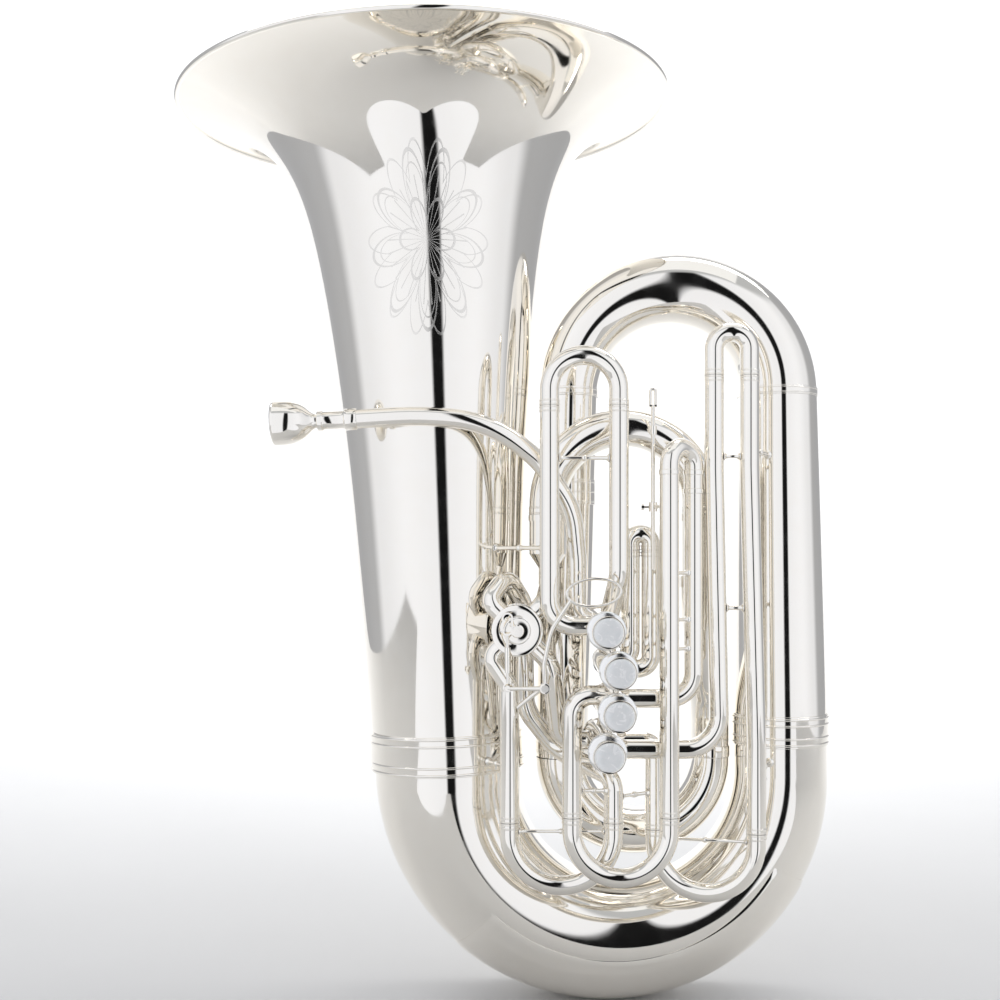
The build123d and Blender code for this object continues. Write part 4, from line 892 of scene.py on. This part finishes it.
for row in range(len(line)):
    for i in range(columns):
        a = row * (columns + 1) + i
        faces.append((a, a + 1, a + columns + 2, a + columns + 1))
sweep_mesh = bpy.data.meshes.new("paper_sweep")
sweep_mesh.from_pydata(verts, [], faces)
sweep_mesh.shade_smooth()
sweep_mesh.materials.append(stage_material)
floor = bpy.data.objects.new("paper_sweep", sweep_mesh)
bpy.context.scene.collection.objects.link(floor)

world = bpy.data.worlds.new("studio")
bpy.context.scene.world = world
world.use_nodes = True
nodes, links = world.node_tree.nodes, world.node_tree.links
background = nodes["Background"]
place = nodes.new("ShaderNodeTexCoord")
apart = nodes.new("ShaderNodeSeparateXYZ")
links.new(place.outputs["Generated"], apart.inputs["Vector"])
turn = nodes.new("ShaderNodeMath")
turn.operation = "ARCTAN2"
back = nodes.new("ShaderNodeMath")
back.operation = "MULTIPLY"
back.inputs[1].default_value = -1.0
links.new(apart.outputs["Y"], back.inputs[0])
links.new(apart.outputs["X"], turn.inputs[0])
links.new(back.outputs["Value"], turn.inputs[1])
spread = nodes.new("ShaderNodeMapRange")
spread.inputs["From Min"].default_value = -pi
spread.inputs["From Max"].default_value = pi
links.new(turn.outputs["Value"], spread.inputs["Value"])
ramp = nodes.new("ShaderNodeValToRGB")
ramp.color_ramp.interpolation = "EASE"
stops = [
    (-180, 0.62), (-130, 0.42), (-100, 0.46), (-84, 0.86), (-40, 0.97), (0, 0.92), (3, 0.008),
    (13, 0.008), (16, 0.92), (50, 0.97), (84, 0.84), (100, 0.42), (130, 0.40), (180, 0.62),
]
elements = ramp.color_ramp.elements
elements[0].position, elements[-1].position = 0.0, 1.0
for degrees, level in stops:
    position = (degrees + 180) / 360
    element = elements[0] if degrees == -180 else elements[-1] if degrees == 180 else elements.new(position)
    element.color = (level * 0.975, level * 1.0, level * 1.07, 1)
links.new(spread.outputs["Result"], ramp.inputs["Fac"])
height = nodes.new("ShaderNodeMapRange")
height.interpolation_type = "SMOOTHSTEP"
height.inputs["From Min"].default_value = 0.68
height.inputs["From Max"].default_value = 0.78
links.new(apart.outputs["Z"], height.inputs["Value"])
mix = nodes.new("ShaderNodeMix")
mix.data_type = "RGBA"
mix.inputs[7].default_value = (0.50, 0.515, 0.54, 1)
links.new(height.outputs["Result"], mix.inputs[0])
links.new(ramp.outputs["Color"], mix.inputs[6])
links.new(mix.outputs[2], background.inputs["Color"])
background.inputs["Strength"].default_value = 1.0

top_light = bpy.data.lights.new("overhead_soft", "AREA")
top_light.shape = "RECTANGLE"
top_light.size = 3.2
top_light.size_y = 3.2
top_light.energy = 14.0
top = bpy.data.objects.new("overhead_soft", top_light)
top.location = (0.0, -0.2, 3.4)
bpy.context.scene.collection.objects.link(top)

wall_light = bpy.data.lights.new("backdrop_soft", "AREA")
wall_light.shape = "RECTANGLE"
wall_light.size = 4.0
wall_light.size_y = 1.0
wall_light.energy = 62.0
wall = bpy.data.objects.new("backdrop_soft", wall_light)
wall.location = (0.0, 0.7, 3.0)
wall.rotation_euler = (radians(42), 0, 0)
bpy.context.scene.collection.objects.link(wall)

view = bpy.data.cameras.new("main_view")
view.lens = 46.2
view.sensor_width = 36.0
view.shift_x = -0.02
view.shift_y = 0.05
camera = bpy.data.objects.new("main_view", view)
camera.location = (-0.0984, -1.343, 0.465)
camera.rotation_euler = (pi / 2, 0, 0)
bpy.context.scene.collection.objects.link(camera)
bpy.context.scene.camera = camera
bpy.context.scene.view_settings.view_transform = "Standard"
